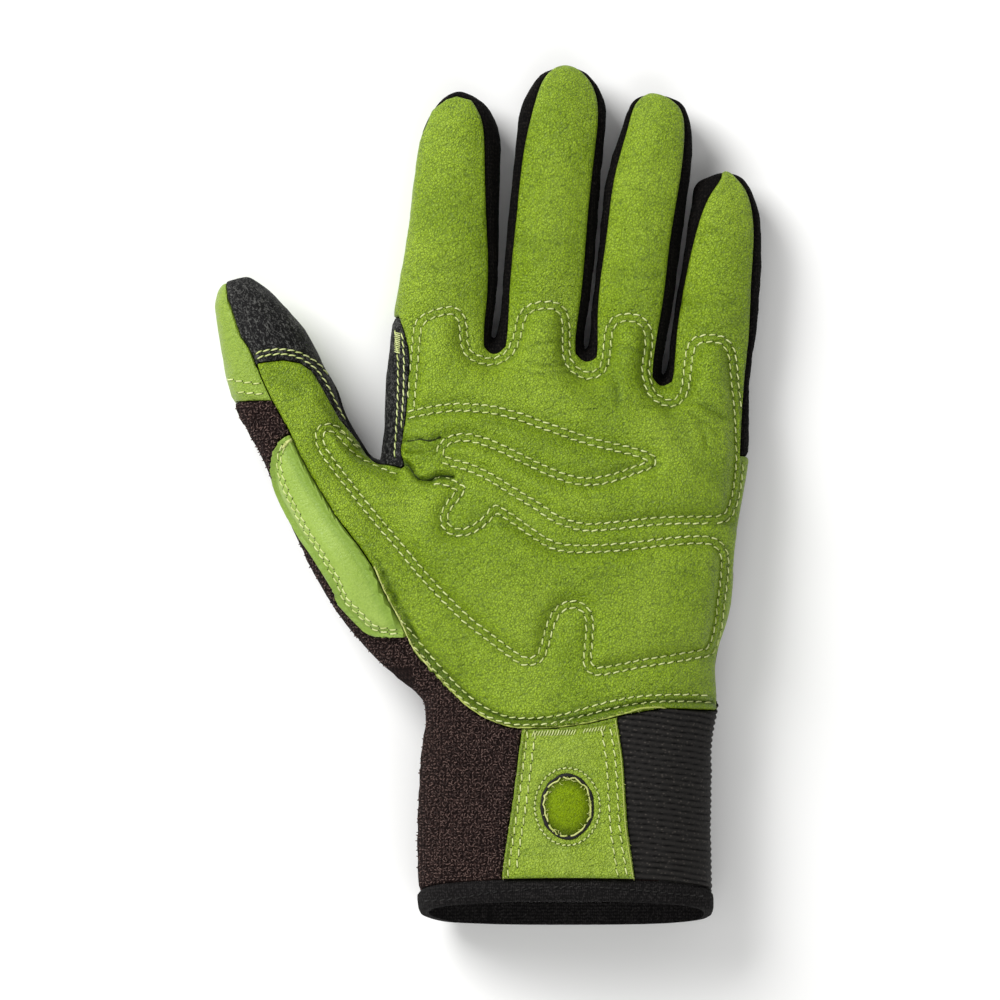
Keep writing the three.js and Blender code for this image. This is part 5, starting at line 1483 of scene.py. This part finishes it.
# Bars in millimetres: start, end, width and pitch
BARS = {
    ("tab_bar", "cuff_tab", "green_leather"): [
        ((12.8, -70), (25.5, -69.6), 1.5, 0.75),
        ((27.5, -69.2), (34, -68.4), 1.2, 0.8)],
    ("patch_bar", "index_side_patch", "grip_fabric"): [
        ((-26.2, 40.8), (-26.1, 47), 1.6, 0.55)],
}
for (name, node, slot), parts in BARS.items():
    bars = Threads()
    for start, end, width, pitch in parts:
        zigzag(bars, outer_trees[node], start, end, width * MM, pitch * MM)
    bars.piece(name, cream_thread, node, slot)

# Raw edges: a thin pale cord of cut leather with loose fibres
CORD_STEP = 0.8 * MM
CORD_LUMPS = 1.1 * MM


def raw_cord(threads, tree, path, radius, lift=0.0):
    """A cord of uneven thickness along a path, broken where the piece ends."""
    spaced = even_steps(path, CORD_STEP)
    run = []
    centres, ups = on_surface(tree, spaced)
    for k, (centre, up) in enumerate(zip(centres, ups)):
        if centre is not None:
            wobble = noise.noise(Vector((*spaced[k], 0.5)) / CORD_LUMPS)
            run.append((centre + up * (lift + 0.1 * MM * wobble), up, radius * (1 + 0.45 * wobble)))
        if (centre is None or k == len(centres) - 1) and len(run) > 2:
            threads.tube(*zip(*run), tone=random.uniform(0.2, 0.9))
            run = []


# Hole: dark turned edge, and a broken pale cord with loose ends inside it
EDGE_RADIUS = 0.55 * MM
EDGE_STEPS = 72
EDGE_END = 355
EDGE_SINK = 0.25 * MM
CORD_WANDER = 0.09
CORD_LENGTHS = ((22, 142), (148, 212), (218, 270), (278, 322), (328, 380))

ring_path = hole_path(-0.05 * MM, 0, EDGE_END, EDGE_STEPS)
tab_level, ups = on_surface(outer_trees["cuff_tab"], hole_path(1.3 * MM, 0, EDGE_END, EDGE_STEPS))
centres = [Vector((x + SHIFT[0], y + SHIFT[1], at.z - EDGE_SINK)) for (x, y), at in zip(ring_path, tab_level)]
radii = [EDGE_RADIUS * (1 + 0.8 * noise.noise(centre / (3.1 * MM))) for centre in centres]
ring = Threads()
ring.tube(centres + centres[:1], ups + ups[:1], radii + radii[:1], sides=8)
ring.piece("hole_edge", dark_thread, "tab_inset", "inset_leather")

overcast = Threads()
for low, high in CORD_LENGTHS:
    inner = hole_path(-0.7 * MM, low, high, 40)
    wobble = [noise.noise(Vector((x, y, 0)) / (1.6 * MM)) for x, y in inner]
    inner = inner + (inner - HOLE_MIDDLE) * (CORD_WANDER * np.array(wobble))[:, None]
    raw_cord(overcast, outer_trees["tab_inset"], inner, 0.25 * MM, 0.3 * MM)
    fray(overcast, outer_trees["tab_inset"], inner, 0.35 * MM, 1.3 * MM, 2, 0.1 * MM)
overcast.piece("hole_overcast", raw_edge, "tab_inset", "inset_leather")

# Dark cords of painted shadow along the sharp creases beside the thumb
creases = Threads()
for path, _, _ in fold_paths[:SHADOWED_FOLDS]:
    raw_cord(creases, outer_trees["palm_leather"], path, 0.26 * MM, -0.08 * MM)
creases.piece("thumb_crease_shadows", crease_shadow, "palm_leather", "green_leather")

# Black piping down the thumb's inner edge, from its top to the crotch, thin where it begins
PIPING_RADIUS = 0.75 * MM
PIPING_OUT = 0.1 * MM
PIPING_STEP = 0.7
PIPING_TOP, PIPING_END = 36, 8.5
THUMB_SIDE = -29.5 * MM
is_thumb = np.isin(surfaces[4].labels, ["palm_leather", "thumb_tip_cover"])
thumb_points = surfaces[4].points[np.unique(surfaces[4].triangles[is_thumb])]
thumb_points = thumb_points[thumb_points[:, 0] < THUMB_SIDE]
course = []
for y in np.arange(PIPING_TOP, PIPING_END, -PIPING_STEP) * MM:
    level = thumb_points[np.abs(thumb_points[:, 1] - y) < 0.8 * MM]
    course.append(level[np.argmax(level[:, 0])])
course = softened(np.array(course), 4) + (SHIFT[0] + PIPING_OUT, SHIFT[1], 0)
piping = Threads()
centres = [Vector(point) for point in course]
radii = PIPING_RADIUS * smooth(-1, 10, np.arange(len(centres)))
piping.tube(centres, [Vector((0, 0, 1))] * len(centres), radii.tolist(), sides=8, tone=0.1)
piping.piece("thumb_piping", dark_thread, "thumb_tip_cover", "grip_fabric")

# Raw edges in millimetres: a cord's radius and lift, and the loose fibres' spread, length and number for each mm
palm_outline = on_palm(PALM_OUTLINE)
hem_edge = inward(along_outline(palm_outline, 14, 29), 0.5 * MM, palm_outline)
guard_top = smooth_path([(-59, 12.6), (-58, 14), (-56.6, 15), (-55, 15), (-54, 14)])
RAW_EDGES = {
    ("palm_raw_edge", "palm_leather", "green_leather"): [
        (raw_cord, hem_edge, 0.26, 0.05),
        (fray, hem_edge, 0.3, 0.9, 2.2)],
    ("tab_raw_edge", "cuff_tab", "green_leather"): [
        (fray, inward(tab_left, 0.7 * MM, tab_outline), 0.3, 0.8, 1.2),
        (raw_cord, inward(tab_right, 0.5 * MM, tab_outline), 0.16, 0),
        (fray, inward(tab_right, 0.6 * MM, tab_outline), 0.3, 1.0, 1.4)],
    ("guard_raw_edge", "thumb_guard", "light_leather"): [
        (raw_cord, guard_top, 0.5, 0),
        (fray, guard_top, 0.4, 1.2, 3)],
}
for (name, node, slot), parts in RAW_EDGES.items():
    raw = Threads()
    for lay, path, first, second, *per_mm in parts:
        lay(raw, outer_trees[node], path, first * MM, second * MM, *per_mm)
    raw.piece(name, raw_edge, node, slot)

# Binding: a row of dark stitches under its upper edge
BINDING_ROW = [
    (-18.5, -118), (-10, -117.5), (0, -115.8), (10, -114.8), (20, -114), (30, -114), (42, -114.8), (52, -115.8),
    (63.5, -116.8)]
binding_threads = Threads()
sew(binding_threads, None, outer_trees["cuff_binding"], smooth_path(BINDING_ROW),
    pitch=2.2 * MM, length=1.6 * MM, radius=0.2 * MM)
binding_threads.piece("binding_stitches", dark_thread, "cuff_binding", "binding")

# Terry loops where the knit shows from the palm side
LOOP_SPACING = 0.85 * MM
LOOP_SCATTER = 0.3
LOOP_RADIUS = 0.36 * MM
YARN_RADIUS = 0.14 * MM
LOOP_STEPS = 5
LEAST_FACING = 0.12
TERRY_COVERS = ("palm_leather", "thumb_guard", "cuff_tab", "thumb_back_cap", "cuff_binding")


def terry_loops(name, x_range, y_range):
    """Loops of yarn on the terry back in a field of the drawing, where no other piece covers it."""
    threads = Threads()
    tree = outer_trees["terry_back"]
    cover = [outer_trees[other] for other in TERRY_COVERS]
    for x in np.arange(*x_range, LOOP_SPACING):
        for y in np.arange(*y_range, LOOP_SPACING):
            at = Vector((x + SHIFT[0] + random.uniform(-LOOP_SCATTER, LOOP_SCATTER) * MM,
                         y + SHIFT[1] + random.uniform(-LOOP_SCATTER, LOOP_SCATTER) * MM, ABOVE))
            hit, normal, _, _ = tree.ray_cast(at, DOWN)
            if hit is None or normal.z < LEAST_FACING:
                continue
            if any(other.ray_cast(at, DOWN)[0] is not None for other in cover):
                continue
            angle = random.uniform(-1.5, 1.5)
            across = normal.cross(Vector((math.sin(angle), math.cos(angle), 0))).normalized()
            lean = normal.cross(across) * random.uniform(-0.5, 0.5)
            radius = LOOP_RADIUS * random.uniform(0.75, 1.2)
            centres = []
            for t in np.linspace(-0.15, 1.15, LOOP_STEPS):
                rise = math.sin(math.pi * t)
                centres.append(hit + across * (radius * math.cos(math.pi * t))
                               + (normal + lean) * (radius * 1.1 * rise))
            ups = [lean + across.cross(normal)] * LOOP_STEPS
            threads.tube(centres, ups, [YARN_RADIUS] * LOOP_STEPS, sides=4, tone=random.uniform(0, 1))
    threads.piece(name, terry_yarn, "terry_back", "brown_terry")


terry_loops("terry_cuff_loops", (-21 * MM, 11 * MM), (-117 * MM, -50 * MM))
terry_loops("terry_thumb_loops", (-75 * MM, -19 * MM), (-50 * MM, 27 * MM))

# Floor and light
FLOOR = 3
floor_mesh = bpy.data.meshes.new("floor")
corners = [(-FLOOR, -FLOOR, 0), (FLOOR, -FLOOR, 0), (FLOOR, FLOOR, 0), (-FLOOR, FLOOR, 0)]
floor_mesh.from_pydata(corners, [], [(0, 1, 2, 3)])
floor = bpy.data.objects.new("floor", floor_mesh)
scene.collection.objects.link(floor)
floor_nodes = Nodes("floor", 0.9)
floor_mesh.materials.append(floor_nodes.finish(
    floor_nodes.blend(floor_nodes.noise(3, 2), colour(246, 246, 244), colour(250, 250, 249))))


def soft_light(name, place, size, watts):
    lamp = bpy.data.lights.new(name, "AREA")
    lamp.size, lamp.energy = size, watts
    light = bpy.data.objects.new(name, lamp)
    scene.collection.objects.link(light)
    light.location = place
    light.rotation_euler = (-Vector(place)).to_track_quat("-Z", "Y").to_euler()


soft_light("key", (-0.8, 0.75, 0.9), 0.8, 22)
soft_light("fill", (0.2, -1.0, 1.0), 1.2, 8)
scene.view_settings.view_transform = "Standard"
scene.world = bpy.data.worlds.new("world")
scene.world.use_nodes = True
background = scene.world.node_tree.nodes["Background"]
background.inputs["Color"].default_value = (1, 1, 1, 1)
background.inputs["Strength"].default_value = 0.42
